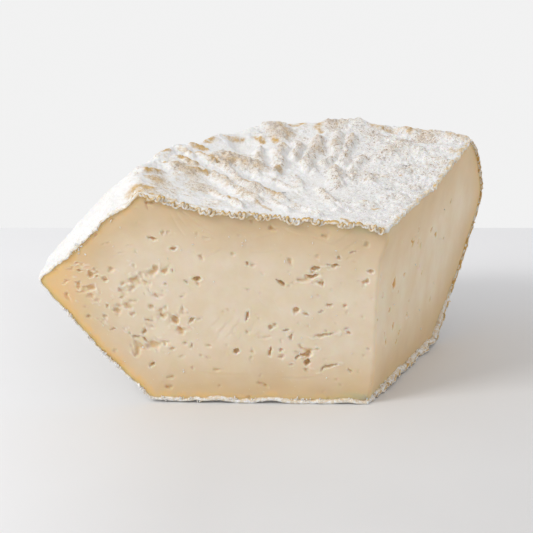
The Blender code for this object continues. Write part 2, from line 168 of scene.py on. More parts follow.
# Flaps that hang lower from the front lip: distance from the edge, half width, extra droop, extra width
FLAPS = (
    (67.5, 1.6, 0.3, 0.25),
    (61.5, 2.4, 0.3, 0.25),
    (53.6, 2.3, 0.8, 0.5),
    (44.0, 2.4, 0.9, 0.6),
    (37.0, 1.9, 0.7, 0.5),
    (28.7, 2.6, 0.8, 0.6),
    (21.0, 1.5, 0.3, 0.3),
    (12.6, 2.4, 1.0, 0.6),
    (2.9, 2.8, 1.3, 0.9),
)
CRINKLE_SIZE = 2.4
RUFFLE_WAVE = 1.5
# Frills of thin skin along the lips: which cut, from and to place along the section, length of a loop,
# least and most swing of the loops, thickness, reach out of the lip, and how golden (also scaling their
# painted shade)
FRILLS = (
    ("front", 0.012, 1.03, 1.50, 0.16, 0.62, 0.94, 0.46, 1.0),
    ("right", 0.03, 1.0, 1.30, 0.12, 0.40, 0.52, 0.36, 0.6),
    ("right", 1.0, 2.7, 4.2, 0.05, 0.40, 0.42, 0.34, 0.9),
    ("right", 2.72, 3.97, 3.2, 0.15, 0.70, 0.34, 0.40, 0.8),
)
FRILL_STEPS = 16
FRILL_OUT = 0.05
# The flap nearest the edge between the cuts swings further
CORNER_FLAP = 1.4
CORNER_WITHIN = 5.0
# Outline of a frill: reach out (a share of it) and half thickness (a share), round from inside
FRILL_PROFILE = (
    (-2.4, 0.5), (-0.4, 0.5), (0.5, 0.42), (0.9, 0.22),
    (0.9, -0.22), (0.5, -0.42), (-0.4, -0.5), (-2.4, -0.5),
)
# How golden a lip is at its start, and a frill at each point of that outline
# (the frill's flanks further in carry painted shade)
LIP_START = 0.3
FRILL_GOLD_AND_SHADE = (0.95, 1.0, 0.88, 0.66, 0.66, 0.88, 1.0, 0.95)
# Crumbs lower than this lie on the floor, and a cut's outline beyond this is its side
FOOT_BELOW = 4.0
SIDE_BEYOND = 55.0
# Crumbs: which cut, from and to distance, from and to height, how many, smallest, largest, golden
CRUMBS = (
    ("front", 8.0, 82.0, 44.0, 57.0, 22, 0.16, 0.30, 0.0),
    ("front", 5.0, 85.0, 6.0, 44.0, 26, 0.14, 0.30, 0.0),
    ("front", 88.5, 92.0, 46.5, 50.0, 16, 0.16, 0.34, 0.0),
    ("right", 4.0, 60.0, 8.0, 52.0, 10, 0.15, 0.28, 0.0),
    ("front", 2.0, 63.0, 0.7, 1.7, 90, 0.22, 0.48, 0.25),
    ("right", 2.0, 60.0, 1.0, 2.6, 70, 0.22, 0.45, 0.4),
)
# Crumbs along the outline of a cut: from and to height, how many, smallest, largest, golden
EDGE_CRUMBS = (
    ("front", 25.0, 31.5, 14, 0.28, 0.55, 0.1),
    ("front", 10.0, 21.0, 24, 0.28, 0.60, 0.1),
    ("front", 41.0, 60.0, 40, 0.16, 0.42, 0.3),
    ("front", 1.0, 9.0, 20, 0.20, 0.45, 0.1),
    ("right", 4.0, 14.0, 40, 0.22, 0.60, 0.4),
    ("right", 14.0, 62.0, 40, 0.14, 0.36, 0.7),
)
# Streaks and spots are only on the top, above this height
TOP_ABOVE = 45.0
# Ochre streaks on the rind: both ends from the axis (x, y, x, y), half width, strength
OCHRE_STREAKS = (
    (-53.3, 50.4, -49.2, 50.6, 0.9, 0.9), (-51.3, 46.0, -46.5, 42.7, 1.1, 1.0),
    (-57.6, 38.8, -52.0, 37.5, 0.9, 0.9), (-53.6, 32.4, -49.0, 31.7, 0.8, 0.7),
    (-57.5, 45.5, -54.3, 43.7, 0.8, 0.5), (-50.0, 58.3, -47.8, 59.6, 1.3, 0.7),
    (-43.7, 63.5, -38.3, 65.4, 0.8, 0.6), (-66.7, 20.2, -63.2, 22.8, 1.2, 1.0),
    (-65.3, 15.8, -63.2, 15.4, 1.4, 0.6), (-69.5, 7.0, -65.0, 7.0, 2.2, 0.9),
    (-33.5, 66.0, -31.6, 65.0, 0.9, 1.0), (-27.9, 65.7, -27.2, 65.2, 0.8, 1.0),
    (-41.6, 11.7, -38.5, 8.0, 0.8, 0.7), (-44.0, 14.0, -42.0, 12.0, 0.8, 0.5),
    (-13.5, 76.0, -12.5, 78.4, 0.9, 0.7), (7.6, 78.6, 9.6, 78.0, 0.9, 0.6),
    (16.6, 75.0, 17.2, 77.4, 0.9, 0.8), (-1.0, 19.7, 0.0, 19.9, 0.9, 0.5),
    (2.2, 15.1, 2.8, 15.2, 0.8, 0.9), (11.2, 43.7, 11.7, 43.8, 0.6, 0.7),
    (-26.5, 74.0, -24.5, 71.0, 1.4, 0.4), (-47.0, 36.0, -45.0, 33.5, 1.0, 0.4),
    (29.0, 61.5, 31.0, 60.0, 1.2, 0.5), (-8.0, 3.0, -6.5, 1.5, 0.9, 0.8),
    (-38.0, 29.0, -36.0, 27.0, 1.0, 0.5), (-26.7, 45.0, -27.0, 41.0, 1.0, 0.6),
    (-71.5, 3.4, -67.5, 3.6, 1.2, 0.8), (-67.0, 1.6, -58.0, 1.6, 1.3, 0.8),
    (-58.0, 1.0, -48.0, 1.0, 1.2, 0.9), (-47.5, 1.0, -42.0, 1.0, 0.8, 0.6),
    (-36.0, 1.4, -31.0, 2.6, 0.7, 0.5), (-33.0, 13.0, -29.5, 8.0, 0.7, 0.6),
    (-30.5, 24.0, -27.0, 20.0, 0.7, 0.6), (-63.5, 41.0, -60.5, 42.5, 0.9, 0.8),
    (-61.5, 33.0, -58.5, 34.0, 0.8, 0.8), (27.0, 33.0, 27.6, 33.2, 0.7, 0.9),
    (38.0, 66.0, 36.5, 69.0, 1.6, 0.7), (20.0, 78.0, 24.0, 76.5, 1.2, 0.5),
    (4.5, 79.0, 11.0, 78.6, 1.5, 0.5), (13.0, 77.8, 18.5, 76.8, 1.3, 0.35),
    (29.0, 71.5, 34.0, 68.5, 1.6, 0.5),
    (-14.0, 75.5, -12.5, 72.5, 1.0, 0.7), (-22.5, 77.0, -18.5, 77.5, 1.0, 0.8),
)
# Dark grey spots, and patches worn to a pinkish grey: place, radius, strength
GREY_SPOTS = ((14.1, 52.3, 1.3, 0.9), (7.2, 31.5, 1.2, 0.9), (-25.0, 25.5, 1.6, 0.7), (-32.0, 68.5, 1.2, 0.4))
WORN_PATCHES = (
    (-39.0, 46.0, 6.0, 0.5), (-26.0, 70.0, 5.5, 0.7), (22.0, 72.0, 5.0, 0.9), (5.0, 73.0, 6.0, 0.4),
    (-8.0, 78.0, 5.0, 0.5), (-52.0, 20.0, 7.0, 0.5), (-27.0, 21.0, 6.0, 0.4), (13.0, 51.0, 5.0, 0.4),
    (-45.0, 5.0, 5.0, 0.4), (12.0, 62.0, 9.0, 0.35), (20.0, 48.0, 8.0, 0.35), (4.0, 44.0, 8.0, 0.3),
    (21.0, 30.0, 8.0, 0.35), (8.0, 22.0, 7.0, 0.3), (-60.0, 12.0, 9.0, 0.5), (-54.0, 32.0, 7.0, 0.4),
)

# Grid of each cut face
FACE_COLUMNS = 260
FACE_ROWS = 164
PASTE_INSET = 0.3
SIDE_INSET = 4.2
SIDE_COLUMNS = 12
PASTE_RECESS = 0.12
WAVE_HEIGHT = 0.22
WAVE_SIZE = 19.0
EDGE_ROUNDING = 0.4
EDGE_ROUND_REACH = 1.1
EDGE_SHIFT_REACH = 12.0
# Sideways wander of the edge between the cuts, at heights
EDGE_SHIFT = ((0.0, 0.0), (5.0, 0.9), (13.0, 1.0), (24.0, 0.1), (31.0, -0.4), (38.0, -0.8), (45.0, -0.8),
              (51.0, 0.5), (56.0, 0.0), (70.0, 0.0))

# Eyes in the front cut: distance left of the edge's foot, height, length, width, tilt, depth
FRONT_EYES = (
    (64.3, 51.6, 2.6, 1.3, -20, 1.5), (58.2, 48.6, 2.8, 1.2, 10, 1.4), (61.0, 53.4, 1.3, 1.0, 0, 0.8),
    (51.1, 39.1, 3.2, 1.5, 0, 2.5), (54.6, 38.3, 1.7, 0.9, -45, 1.0), (58.7, 41.5, 1.3, 1.3, 0, 1.0),
    (60.7, 37.0, 1.3, 1.0, 0, 0.8), (63.6, 42.4, 2.6, 1.8, 60, 1.2), (69.8, 39.5, 4.0, 1.5, 45, 1.2),
    (36.2, 44.0, 1.6, 1.6, 0, 1.2), (25.9, 38.3, 2.8, 1.3, -20, 2.5), (36.2, 27.7, 3.8, 1.1, 80, 1.8),
    (29.3, 24.3, 1.7, 1.6, 0, 1.4), (21.7, 29.4, 2.6, 2.2, 20, 1.6), (61.4, 27.7, 2.2, 1.6, -40, 1.5),
    (57.8, 26.4, 3.0, 2.2, -50, 2.0), (56.3, 23.4, 2.5, 1.2, -60, 1.5), (53.0, 26.2, 2.8, 1.3, 45, 1.6),
    (65.4, 26.0, 3.0, 0.9, 0, 1.0), (67.0, 22.8, 2.5, 1.2, 60, 1.4), (69.7, 21.0, 2.6, 1.0, 15, 1.1),
    (66.7, 20.0, 2.0, 1.0, -50, 1.2), (52.7, 18.4, 2.0, 1.0, 80, 1.2), (60.4, 18.6, 1.5, 1.2, 30, 1.0),
    (65.1, 12.3, 2.0, 1.3, 70, 1.4), (39.7, 16.4, 1.9, 1.5, 50, 2.0), (29.2, 16.3, 3.4, 1.2, 85, 1.6),
    (26.0, 16.8, 1.8, 1.3, 0, 1.2), (24.4, 23.3, 3.0, 0.8, 5, 1.2), (23.3, 21.5, 1.6, 1.5, 0, 1.4),
    (18.6, 15.6, 4.0, 1.5, 10, 2.5), (18.3, 13.1, 3.0, 1.1, 85, 2.5), (20.7, 15.0, 2.4, 1.0, 45, 1.5),
    (23.0, 12.2, 1.3, 1.0, 0, 0.9), (13.0, 21.9, 8.0, 0.9, 8, 1.2), (6.1, 22.6, 1.3, 1.1, 0, 1.0),
    (12.0, 11.9, 6.5, 0.9, 25, 1.4), (6.0, 10.4, 1.6, 0.9, -50, 1.0), (15.8, 42.8, 4.0, 1.1, 15, 1.8),
    (16.8, 40.3, 4.6, 1.4, 0, 2.5), (14.3, 37.8, 2.0, 1.2, 45, 1.6), (9.6, 43.8, 2.3, 1.0, 0, 1.5),
    (12.2, 43.8, 1.6, 0.8, 0, 1.0), (9.0, 46.4, 1.6, 1.2, 0, 1.1), (5.1, 47.8, 2.0, 0.6, 10, 0.8),
    (-0.2, 39.0, 2.6, 1.8, 40, 1.4), (-1.0, 41.9, 2.0, 1.2, 0, 1.1), (11.6, 31.4, 1.7, 0.9, 50, 1.0),
    (18.8, 28.4, 2.0, 1.0, -20, 1.2), (14.0, 29.7, 1.8, 0.8, 30, 0.9), (83.0, 40.6, 2.2, 1.6, -45, 1.2),
    (78.4, 38.8, 2.0, 0.9, -50, 1.1), (85.9, 41.9, 1.4, 1.0, 0, 0.9), (83.6, 36.7, 1.6, 1.2, 0, 1.0),
    (78.0, 30.5, 1.5, 1.2, -60, 1.0), (78.6, 27.3, 1.4, 1.0, 0, 0.8), (76.6, 23.4, 2.0, 0.8, 30, 0.9),
    (70.5, 28.2, 2.0, 1.0, 0, 0.9),
)
# Eyes in the right cut: distance from the leaning edge, then as above
RIGHT_EYES = (
    (13.6, 34.4, 4.0, 2.2, 80, 2.0), (34.9, 40.2, 2.2, 0.9, 75, 1.2), (25.7, 44.4, 2.0, 0.9, 70, 1.0),
    (49.6, 39.8, 2.6, 1.8, 70, 1.4), (58.4, 35.9, 1.6, 1.2, 60, 0.9), (21.6, 13.2, 1.6, 1.3, 60, 1.3),
    (10.4, 16.6, 2.6, 1.0, 85, 1.1), (23.5, 15.5, 2.4, 0.8, 85, 0.9), (1.3, 39.8, 1.8, 1.0, 60, 1.1),
    (16.4, 47.0, 1.6, 0.8, 70, 0.8), (30.8, 46.5, 1.6, 0.8, 70, 0.8), (61.5, 47.6, 1.6, 0.9, 70, 0.8),
    (52.4, 17.2, 2.0, 1.2, 70, 0.5), (29.6, 24.1, 1.8, 0.9, 70, 0.8), (1.2, 26.8, 1.4, 1.0, 20, 0.8),
    (27.0, 43.3, 2.4, 1.3, 75, 1.2), (44.4, 43.1, 1.8, 1.4, 75, 1.0), (22.0, 34.5, 2.0, 1.2, 75, 1.1),
    (12.0, 26.3, 2.2, 1.2, 80, 1.0), (16.5, 19.5, 2.6, 1.3, 80, 1.2), (8.8, 19.1, 2.4, 1.2, 85, 1.0),
    (29.0, 19.2, 1.8, 1.4, 70, 0.8), (32.0, 42.7, 1.6, 1.1, 75, 0.8), (5.0, 33.0, 1.8, 1.2, 80, 0.8),
    (18.0, 30.5, 1.6, 1.0, 75, 0.8), (40.0, 30.0, 1.4, 1.0, 70, 0.6), (36.0, 33.0, 1.6, 1.1, 75, 0.7),
)
# Crumbly patches of the front cut: distance, height, half width, half height, strength
CRUMBLY = (
    (84.0, 38.0, 6.0, 5.5, 0.8),
    (68.0, 36.0, 7.0, 9.0, 0.7),
    (60.0, 26.0, 8.0, 6.0, 0.8),
    (66.0, 19.0, 7.0, 5.0, 0.7),
    (16.0, 41.0, 6.0, 4.0, 0.6),
    (19.0, 15.0, 6.0, 4.0, 0.6),
    (75.0, 28.0, 6.0, 5.0, 0.6),
)
# Strength of the golden band next to the rind, at places along the section as above
GOLDEN_FRONT = (
    (0.0, 0.15), (0.8, 0.3), (1.0, 0.6), (1.6, 0.7), (1.9, 1.0), (2.8, 1.0), (3.1, 0.8), (4.0, 0.5),
)
TAN_FRONT = ((0.0, 0.8), (0.9, 0.8), (1.1, 0.85), (1.9, 0.8), (2.8, 0.4), (3.05, 0.9), (4.0, 1.0))
TAN_RIGHT = ((0.0, 0.8), (0.9, 0.9), (1.2, 0.9), (2.0, 0.7), (2.8, 1.0), (4.0, 1.0))
GOLDEN_RIGHT = ((0.0, 0.15), (0.9, 0.3), (1.2, 0.6), (2.0, 0.5), (2.8, 0.35), (4.0, 0.3))
# Knife marks on the front cut: distance left of the edge's foot, height, length, tilt, depth
KNIFE_MARKS = (
    (43.7, 23.3, 6.0, 52, 0.13), (42.2, 24.6, 6.5, 48, 0.10), (40.9, 22.5, 5.5, 55, 0.12),
    (45.4, 25.5, 5.0, 44, 0.09), (39.5, 24.6, 5.0, 50, 0.10), (44.9, 20.9, 4.5, 58, 0.10),
    (38.2, 20.8, 4.0, 60, 0.08), (35.5, 22.5, 4.6, 45, 0.10), (33.5, 21.5, 4.2, 42, 0.09),
    (34.8, 24.3, 4.0, 48, 0.08), (57.0, 56.0, 9.0, -60, 0.10), (52.0, 57.3, 12.0, -35, 0.12),
    (50.0, 54.0, 10.0, -30, 0.09), (55.2, 57.0, 8.0, -52, 0.08), (38.0, 54.0, 9.0, -20, 0.09),
    (30.0, 52.5, 10.0, 15, 0.10), (22.0, 53.0, 8.0, -25, 0.09), (14.0, 51.0, 9.0, -20, 0.10),
    (26.0, 55.0, 7.0, 10, 0.08), (8.0, 52.0, 8.0, 38, 0.09), (5.5, 50.0, 7.0, 42, 0.08),
    (46.0, 47.0, 7.0, 28, 0.08), (30.0, 47.5, 12.0, 8, 0.07), (33.0, 33.5, 8.0, -62, 0.08),
    (27.5, 31.0, 6.0, -58, 0.07), (20.0, 8.0, 14.0, 3, 0.10), (44.0, 9.0, 16.0, -2, 0.09),
)
KNIFE_WIDTH = 0.3

# Sizes and depths of the paste's finer relief
RIGHT_EYES_WIDENED = 1.5
CRUMBLY_SIZE = 2.8
RIM_HEIGHT = 0.19
CRUMBLY_DEPTH = 0.75
CRACK_SIZE = 3.6
EYE_DEPTH = 0.74
EYE_WARP = 0.8
EYE_WARP_SIZE = 2.1

# Camera
CAMERA_PLACE = (-2.18, -621.53, 224.01)
CAMERA_TILT = math.radians(72.5)
CAMERA_LENS = 136.98

# How many points are measured against an outline at once
AT_ONCE = 4000


# The wedge's form

def sizes_at(share):
    """The section's sizes at a share of the way round, easing from each listed place to the next."""
    places = np.array(SECTIONS)
    index = min(int(np.searchsorted(places[:, 0], share, side="right")) - 1, len(places) - 2)
    before, after = places[index], places[index + 1]
    way = (share - before[0]) / (after[0] - before[0])
    eased = way * way * (3 - 2 * way)
    return dict(zip(SECTION_NAMES, (before + (after - before) * eased)[1:]))


def lengths_along(curve):
    """Distance from a curve's start to each of its points."""
    return np.concatenate([[0], np.cumsum(np.linalg.norm(np.diff(curve, axis=0), axis=1))])


def rounded(curve, reach):
    """A curve with its corners rounded: each point becomes the mean of its neighbours within reach."""
    length = lengths_along(curve)
    weight = np.exp(-0.5 * ((length[:, None] - length[None, :]) / reach) ** 2)
    mean = weight @ curve / weight.sum(1, keepdims=True)
    near_end = np.minimum(length, length[-1] - length) / (3 * reach)
    keep = np.clip(1 - near_end, 0, 1)[:, None]
    return curve * keep + mean * (1 - keep)


def section(share):
    """Points (distance from the cut edge, height) of the section, from the axis over the top, down the
    side and back along the base."""
    size = sizes_at(share)
    out = np.linspace(0, 1, POINTS_ON_TOP)
    rise = 0.45 * out + 0.55 * out**4
    top = np.column_stack([out * size["lip_r"], CENTRE_HEIGHT + (size["lip_z"] - CENTRE_HEIGHT) * rise])
    down = np.linspace(0, 1, POINTS_ON_UPPER_SIDE + 1)[1:]
    upper = np.column_stack([
        size["tip_r"] - (size["tip_r"] - size["lip_r"]) * (1 - down) ** size["upper_power"],
        size["lip_z"] + (size["tip_z"] - size["lip_z"]) * down,
    ])
    under = np.linspace(0, 1, POINTS_ON_LOWER_SIDE + 1)[1:]
    lower = np.column_stack([
        size["tip_r"] - (size["tip_r"] - size["base_r"]) * under ** size["lower_power"],
        size["tip_z"] * (1 - under),
    ])
    back = np.linspace(1, 0, POINTS_ON_BASE + 1)[1:]
    base = np.column_stack([back * size["base_r"], 0 * back])
    return rounded(np.concatenate([top, upper, lower, base]), CORNER_ROUNDING)


FORM = np.stack([section(share) for share in np.linspace(0, 1, SHARES)])
# Where the top, the upper side, the lower side and the base begin and end, as points of the section
PART_ENDS = np.cumsum([0, POINTS_ON_TOP - 1, POINTS_ON_UPPER_SIDE, POINTS_ON_LOWER_SIDE, POINTS_ON_BASE])


def form_at(share, index):
    """Distance from the axis and height of the plain form, at shares round and places along."""
    across = np.clip(share, 0, 1) * (SHARES - 1)
    along = np.clip(index, 0, FORM.shape[1] - 1)
    left = np.minimum(across.astype(int), SHARES - 2)
    first = np.minimum(along.astype(int), FORM.shape[1] - 2)
    u, v = (across - left)[..., None], (along - first)[..., None]
    near = FORM[left, first] * (1 - v) + FORM[left, first + 1] * v
    far = FORM[left + 1, first] * (1 - v) + FORM[left + 1, first + 1] * v
    return near * (1 - u) + far * u


def plain_points(share, index):
    """Points of the plain form."""
    share, index = np.asarray(share, float), np.asarray(index, float)
    flat = form_at(share, index)
    angle = FRONT_CUT + (RIGHT_CUT - FRONT_CUT) * share
    return np.stack([
        EDGE_LEAN * flat[..., 1] - flat[..., 0] * np.cos(angle),
        flat[..., 0] * np.sin(angle),
        flat[..., 1],
    ], axis=-1)


def plain_normals(share, index):
    """Outward normals of the plain form, which turn upright (or straight down) near the axis."""
    share, index = np.asarray(share, float), np.asarray(index, float)
    round_wheel = plain_points(share + 0.004, index) - plain_points(share - 0.004, index)
    last = FORM.shape[1] - 1
    later, earlier = np.clip(index + 1, 0, last), np.clip(index - 1, 0, last)
    along_section = plain_points(share, later) - plain_points(share, earlier)
    normal = np.cross(round_wheel, along_section)
    normal /= np.maximum(np.linalg.norm(normal, axis=-1, keepdims=True), 1e-9)
    flat = form_at(share, index)
    side = np.where(flat[..., 1] > CENTRE_HEIGHT / 2, 1.0, -1.0)[..., None]
    from_axis = np.clip(flat[..., 0] / UPRIGHT_WITHIN, 0, 1)[..., None]
    return normal * from_axis + side * (EDGE_LEAN, 0, 1) * (1 - from_axis)


def fractal(points, size, octaves=3):
    """Smooth noise with detail down to a fraction of size, for each point, about -1 to 1."""
    return np.array([noise.fractal(Vector(p) / size, 1.0, 2.0, octaves) for p in points])


def cut_gaps(points):
    """Distances in millimetres from the front cut and from the right one."""
    front = np.abs(points[:, 1] * math.cos(FRONT_CUT) + points[:, 0] * math.sin(FRONT_CUT))
    leaned = points[:, 0] - EDGE_LEAN * points[:, 2]
    right = np.abs(points[:, 1] * math.cos(RIGHT_CUT) + leaned * math.sin(RIGHT_CUT))
    return front, right


def squares_apart(x, y, row):
    """Squared distance, in half widths, of places from the line between the two ends of a table's row."""
    x0, y0, x1, y1, half_width = row[:5]
    dx, dy = x1 - x0, y1 - y0
    way = np.clip(((x - x0) * dx + (y - y0) * dy) / (dx * dx + dy * dy), 0, 1)
    return ((x - x0 - way * dx) ** 2 + (y - y0 - way * dy) ** 2) / half_width ** 2


def ridges(points):
    """Height of the ridges and mounds, in millimetres, for points in millimetres from the axis."""
    x = points[:, 0] + RIDGE_WARP * fractal(points + 30.0, 9.0, 2)
    y = points[:, 1] + RIDGE_WARP * fractal(points + 55.0, 9.0, 2)
    raised, sunk = np.zeros(len(points)), np.zeros(len(points))
    for row in RIDGES:
        bump = row[5] * np.exp(-squares_apart(x, y, row) ** 1.3)
        raised, sunk = np.maximum(raised, bump), np.minimum(sunk, bump)
    return raised * np.clip(0.96 + 0.4 * fractal(points + 90.0, 5.0, 2), 0.35, 1.35) + sunk


def folds(points):
    """The crease along the rim and the dent in the front shoulder, in millimetres."""
    leaned = points[:, 0] - EDGE_LEAN * points[:, 2]
    radius = np.hypot(leaned, points[:, 1])
    share = (np.arctan2(points[:, 1], -leaned) - FRONT_CUT) / (RIGHT_CUT - FRONT_CUT)
    way = np.clip((share - CREASE_FROM) / (1 - CREASE_FROM), 0, 1)
    crease_r = CREASE_R_START + (CREASE_R_END - CREASE_R_START) * way
    crease = np.exp(-((radius - crease_r) / CREASE_WIDTH) ** 2) * np.clip(3 * way, 0, 1)
    dent = np.exp(-((radius - DENT_R) / DENT_WIDTH) ** 2 - (cut_gaps(points)[0] / DENT_REACH) ** 2)
    high = np.clip((points[:, 2] - 48) / 6, 0, 1)
    return -(CREASE_DEPTH * crease + DENT_DEPTH * dent) * high


def curl(points):
    """How far the base is lifted along the two cuts, in millimetres."""
    near = np.exp(-(np.minimum(*cut_gaps(points)) / CURL_REACH) ** 2)
    wave = np.clip(0.35 + 1.1 * fractal(points + 70.0, CURL_WAVE, 1), 0, 1)
    low = np.clip(1 - points[:, 2] / 4.0, 0, 1)
    from_axis = np.clip(np.hypot(points[:, 0], points[:, 1]) / 8.0, 0, 1)
    return CURL_HEIGHT * wave * near * low * from_axis


def relief(points, normals):
    """How far the rind stands out of the plain form, and how much of that is ridge."""
    flatness = np.clip((normals[:, 2] - 0.68) / 0.22, 0, 1)
    on_side = np.clip((points[:, 2] - 3.0) / 6.0, 0, 1)
    ridge = ridges(points)
    top = (1.30 * ridge - 0.40) * flatness
    lumps = LUMP_HEIGHT * fractal(points, LUMP_SIZE, 2)
    bumps = fractal(points + 40.0, BUMP_SIZE, 2)
    height = (top + lumps + BUMP_HEIGHT * bumps + folds(points)) * on_side
    return height, ridge * flatness + 0.5 * bumps


def fine_relief(points, crest):
    """Wrinkles, worm-like folds on the crests and pimples, in millimetres."""
    bend = 1.6 * fractal(points + 200.0, 6.0, 2)
    wrinkle = 1 - 2 * np.abs(fractal(points + bend[:, None], WRINKLE_SIZE, 2))
    rightwards = np.clip(points[:, 0] / 25, -0.2, 0.4)
    rough = np.clip(0.6 + 1.3 * fractal(points + 240.0, 13.0, 2) + rightwards, 0.15, 1.1)
    worm = 1 - 2.6 * np.abs(fractal(points + 0.5 * bend[:, None] + 300.0, WORM_SIZE, 2))
    on_right = np.clip((points[:, 0] + 5) / 20, 0, 1)
    worm *= np.clip(0.25 + 0.7 * crest + 0.5 * on_right, 0.1, 1.1)
    pimple = fractal(points + 33.0, PIMPLE_SIZE, 2)
    on_side = np.clip((points[:, 2] - 1.0) / 4.0, 0.15, 1)
    from_front = np.clip((points[:, 1] - 15) / 30, 0, 1)
    top = np.clip((points[:, 2] - 52) / 6, 0.35 + 0.55 * from_front, 1)
    folded = WRINKLE_HEIGHT * (wrinkle - 0.55) + PIMPLE_HEIGHT * pimple
    return (folded * rough + WORM_HEIGHT * worm) * on_side * top


def rind_points(share, index):
    """Points of the rind's outer surface, and how worn a crest each one is."""
    plain, normal = plain_points(share, index), plain_normals(share, index)
    height, crest = relief(plain, normal)
    gap = np.minimum(*cut_gaps(plain))
    tear = RAGGED_HEIGHT * fractal(plain + 120.0, RAGGED_SIZE, 2) * np.exp(-(gap / RAGGED_REACH) ** 2)
    steady = np.clip(form_at(share, index)[:, 0] / 6, 0, 1)
    height = height + (fine_relief(plain, crest) + tear) * steady
    points = plain + normal * height[:, None]
    points[:, 2] = np.maximum(points[:, 2] + curl(plain), 0.0)
    return points, crest, gap


def cut_axes(angle):
    """The directions along a cut and up its leaning edge, and the cut's outward normal."""
    along = np.array([-math.cos(angle), math.sin(angle), 0.0])
    up = np.array([EDGE_LEAN, 0.0, 1.0])
    normal = np.cross(along, up)
    normal /= np.linalg.norm(normal)
    outward = -normal if angle == FRONT_CUT else normal
    return along, up, outward


def in_cut(points, angle):
    """Distance from the leaning edge and height of points, as seen square to a cut."""
    outward = cut_axes(angle)[2]
    flat = points - (points @ outward)[:, None] * outward
    height = flat[:, 2]
    along = cut_axes(angle)[0]
    leaned = flat - height[:, None] * (EDGE_LEAN, 0, 1)
    return leaned @ along, height


def on_cut(distance, height, out, angle):
    """Points at distances from the leaning edge, heights, and millimetres out of a cut."""
    along, up, outward = cut_axes(angle)
    return distance[..., None] * along + height[..., None] * up + out[..., None] * outward


def mitre():
    """The direction out of the edge between the cuts, as long as the corner needs."""
    front, right = cut_axes(FRONT_CUT)[2], cut_axes(RIGHT_CUT)[2]
    return (front + right) / (1 + front @ right)


def from_table(rows, places):
    """The columns of a named table of numbers, at places between its listed ones."""
    table = np.array(rows)
    return [np.interp(places, table[:, 0], table[:, k]) for k in range(1, table.shape[1])]


def part_place(index):
    """Where a point of the section is, counted in its four parts: top, upper side, lower side, base."""
    return np.interp(index, PART_ENDS, range(5))


# The rind

def rind_rows():
    """Places of the rind's rows along the section, and how many columns each has."""
    middle = FORM[SHARES // 2]
    length = lengths_along(middle)
    places, reached = [0.0], 0.0
    while reached < length[-1] - 0.6:
        part = min(int(part_place(places[-1])), 3)
        reached += ROW_STEPS[part]
        places.append(float(np.interp(reached, length, range(len(length)))))
    places.append(float(FORM.shape[1] - 1))
    distance = np.interp(places, range(len(middle)), middle[:, 0])
    part = part_place(places)
    columns = np.full(len(places), MOST_COLUMNS)
    columns[part > 2] //= 2
    for limit in FEWER_COLUMNS_BELOW:
        columns[distance < limit] //= 2
    return np.array(places), columns


def strips(lower, upper):
    """Faces between two rows of points, where one row has as many columns as the other or half."""
    if len(lower) > len(upper):
        return [list(reversed(face)) for face in strips(upper, lower)]
    ratio = (len(upper) - 1) // (len(lower) - 1)
    faces = []
    for i in range(len(lower) - 1):
        across = upper[i * ratio:(i + 1) * ratio + 1]
        faces.append([lower[i], *across, lower[i + 1]])
    return faces


def crossings(left, right):
    """Faces between two equally long rows, where the rows may share points."""
    faces = []
    for i in range(len(left) - 1):
        corners = [left[i], left[i + 1], right[i + 1], right[i]]
        corners = list(dict.fromkeys(corners))
        if len(corners) > 2:
            faces.append(corners)
    return faces


def without_spares(points, faces):
    """Which points the faces use, and the faces renumbered for those alone."""
    used = np.zeros(len(points), bool)
    used[np.unique([v for face in faces for v in face])] = True
    number = np.cumsum(used) - 1
    return used, [[int(number[v]) for v in face] for face in faces]


def add_mesh(name, points, faces, attributes):
    """A mesh piece from points in millimetres from the axis, with a number for each point by name."""
    mesh = bpy.data.meshes.new(name)
    shifted = (np.asarray(points) + (AXIS_X, AXIS_Y, 0)) * MM
    mesh.from_pydata(shifted.tolist(), [], faces)
    shape = bmesh.new()
    shape.from_mesh(mesh)
    bmesh.ops.recalc_face_normals(shape, faces=shape.faces)
    shape.to_mesh(mesh)
    shape.free()
    for key, values in attributes.items():
        attribute = mesh.attributes.new(key, "FLOAT", "POINT")
        attribute.data.foreach_set("value", np.asarray(values, np.float32))
    mesh.shade_smooth()
    piece = bpy.data.objects.new(name, mesh)
    bpy.context.scene.collection.objects.link(piece)
    return piece


def flapped(distance, place, width, thickness):
    """The front lip's width and thickness with its flaps, and how much of a flap each point is."""
    curly = np.zeros(len(distance))
    for middle, half, droop, out in FLAPS:
        flap = np.exp(-((distance - middle) / half) ** 4) * (place < 1)
        thickness = thickness + droop * flap
        width = width + out * flap
        curly = np.maximum(curly, flap)
    return width, thickness, curly


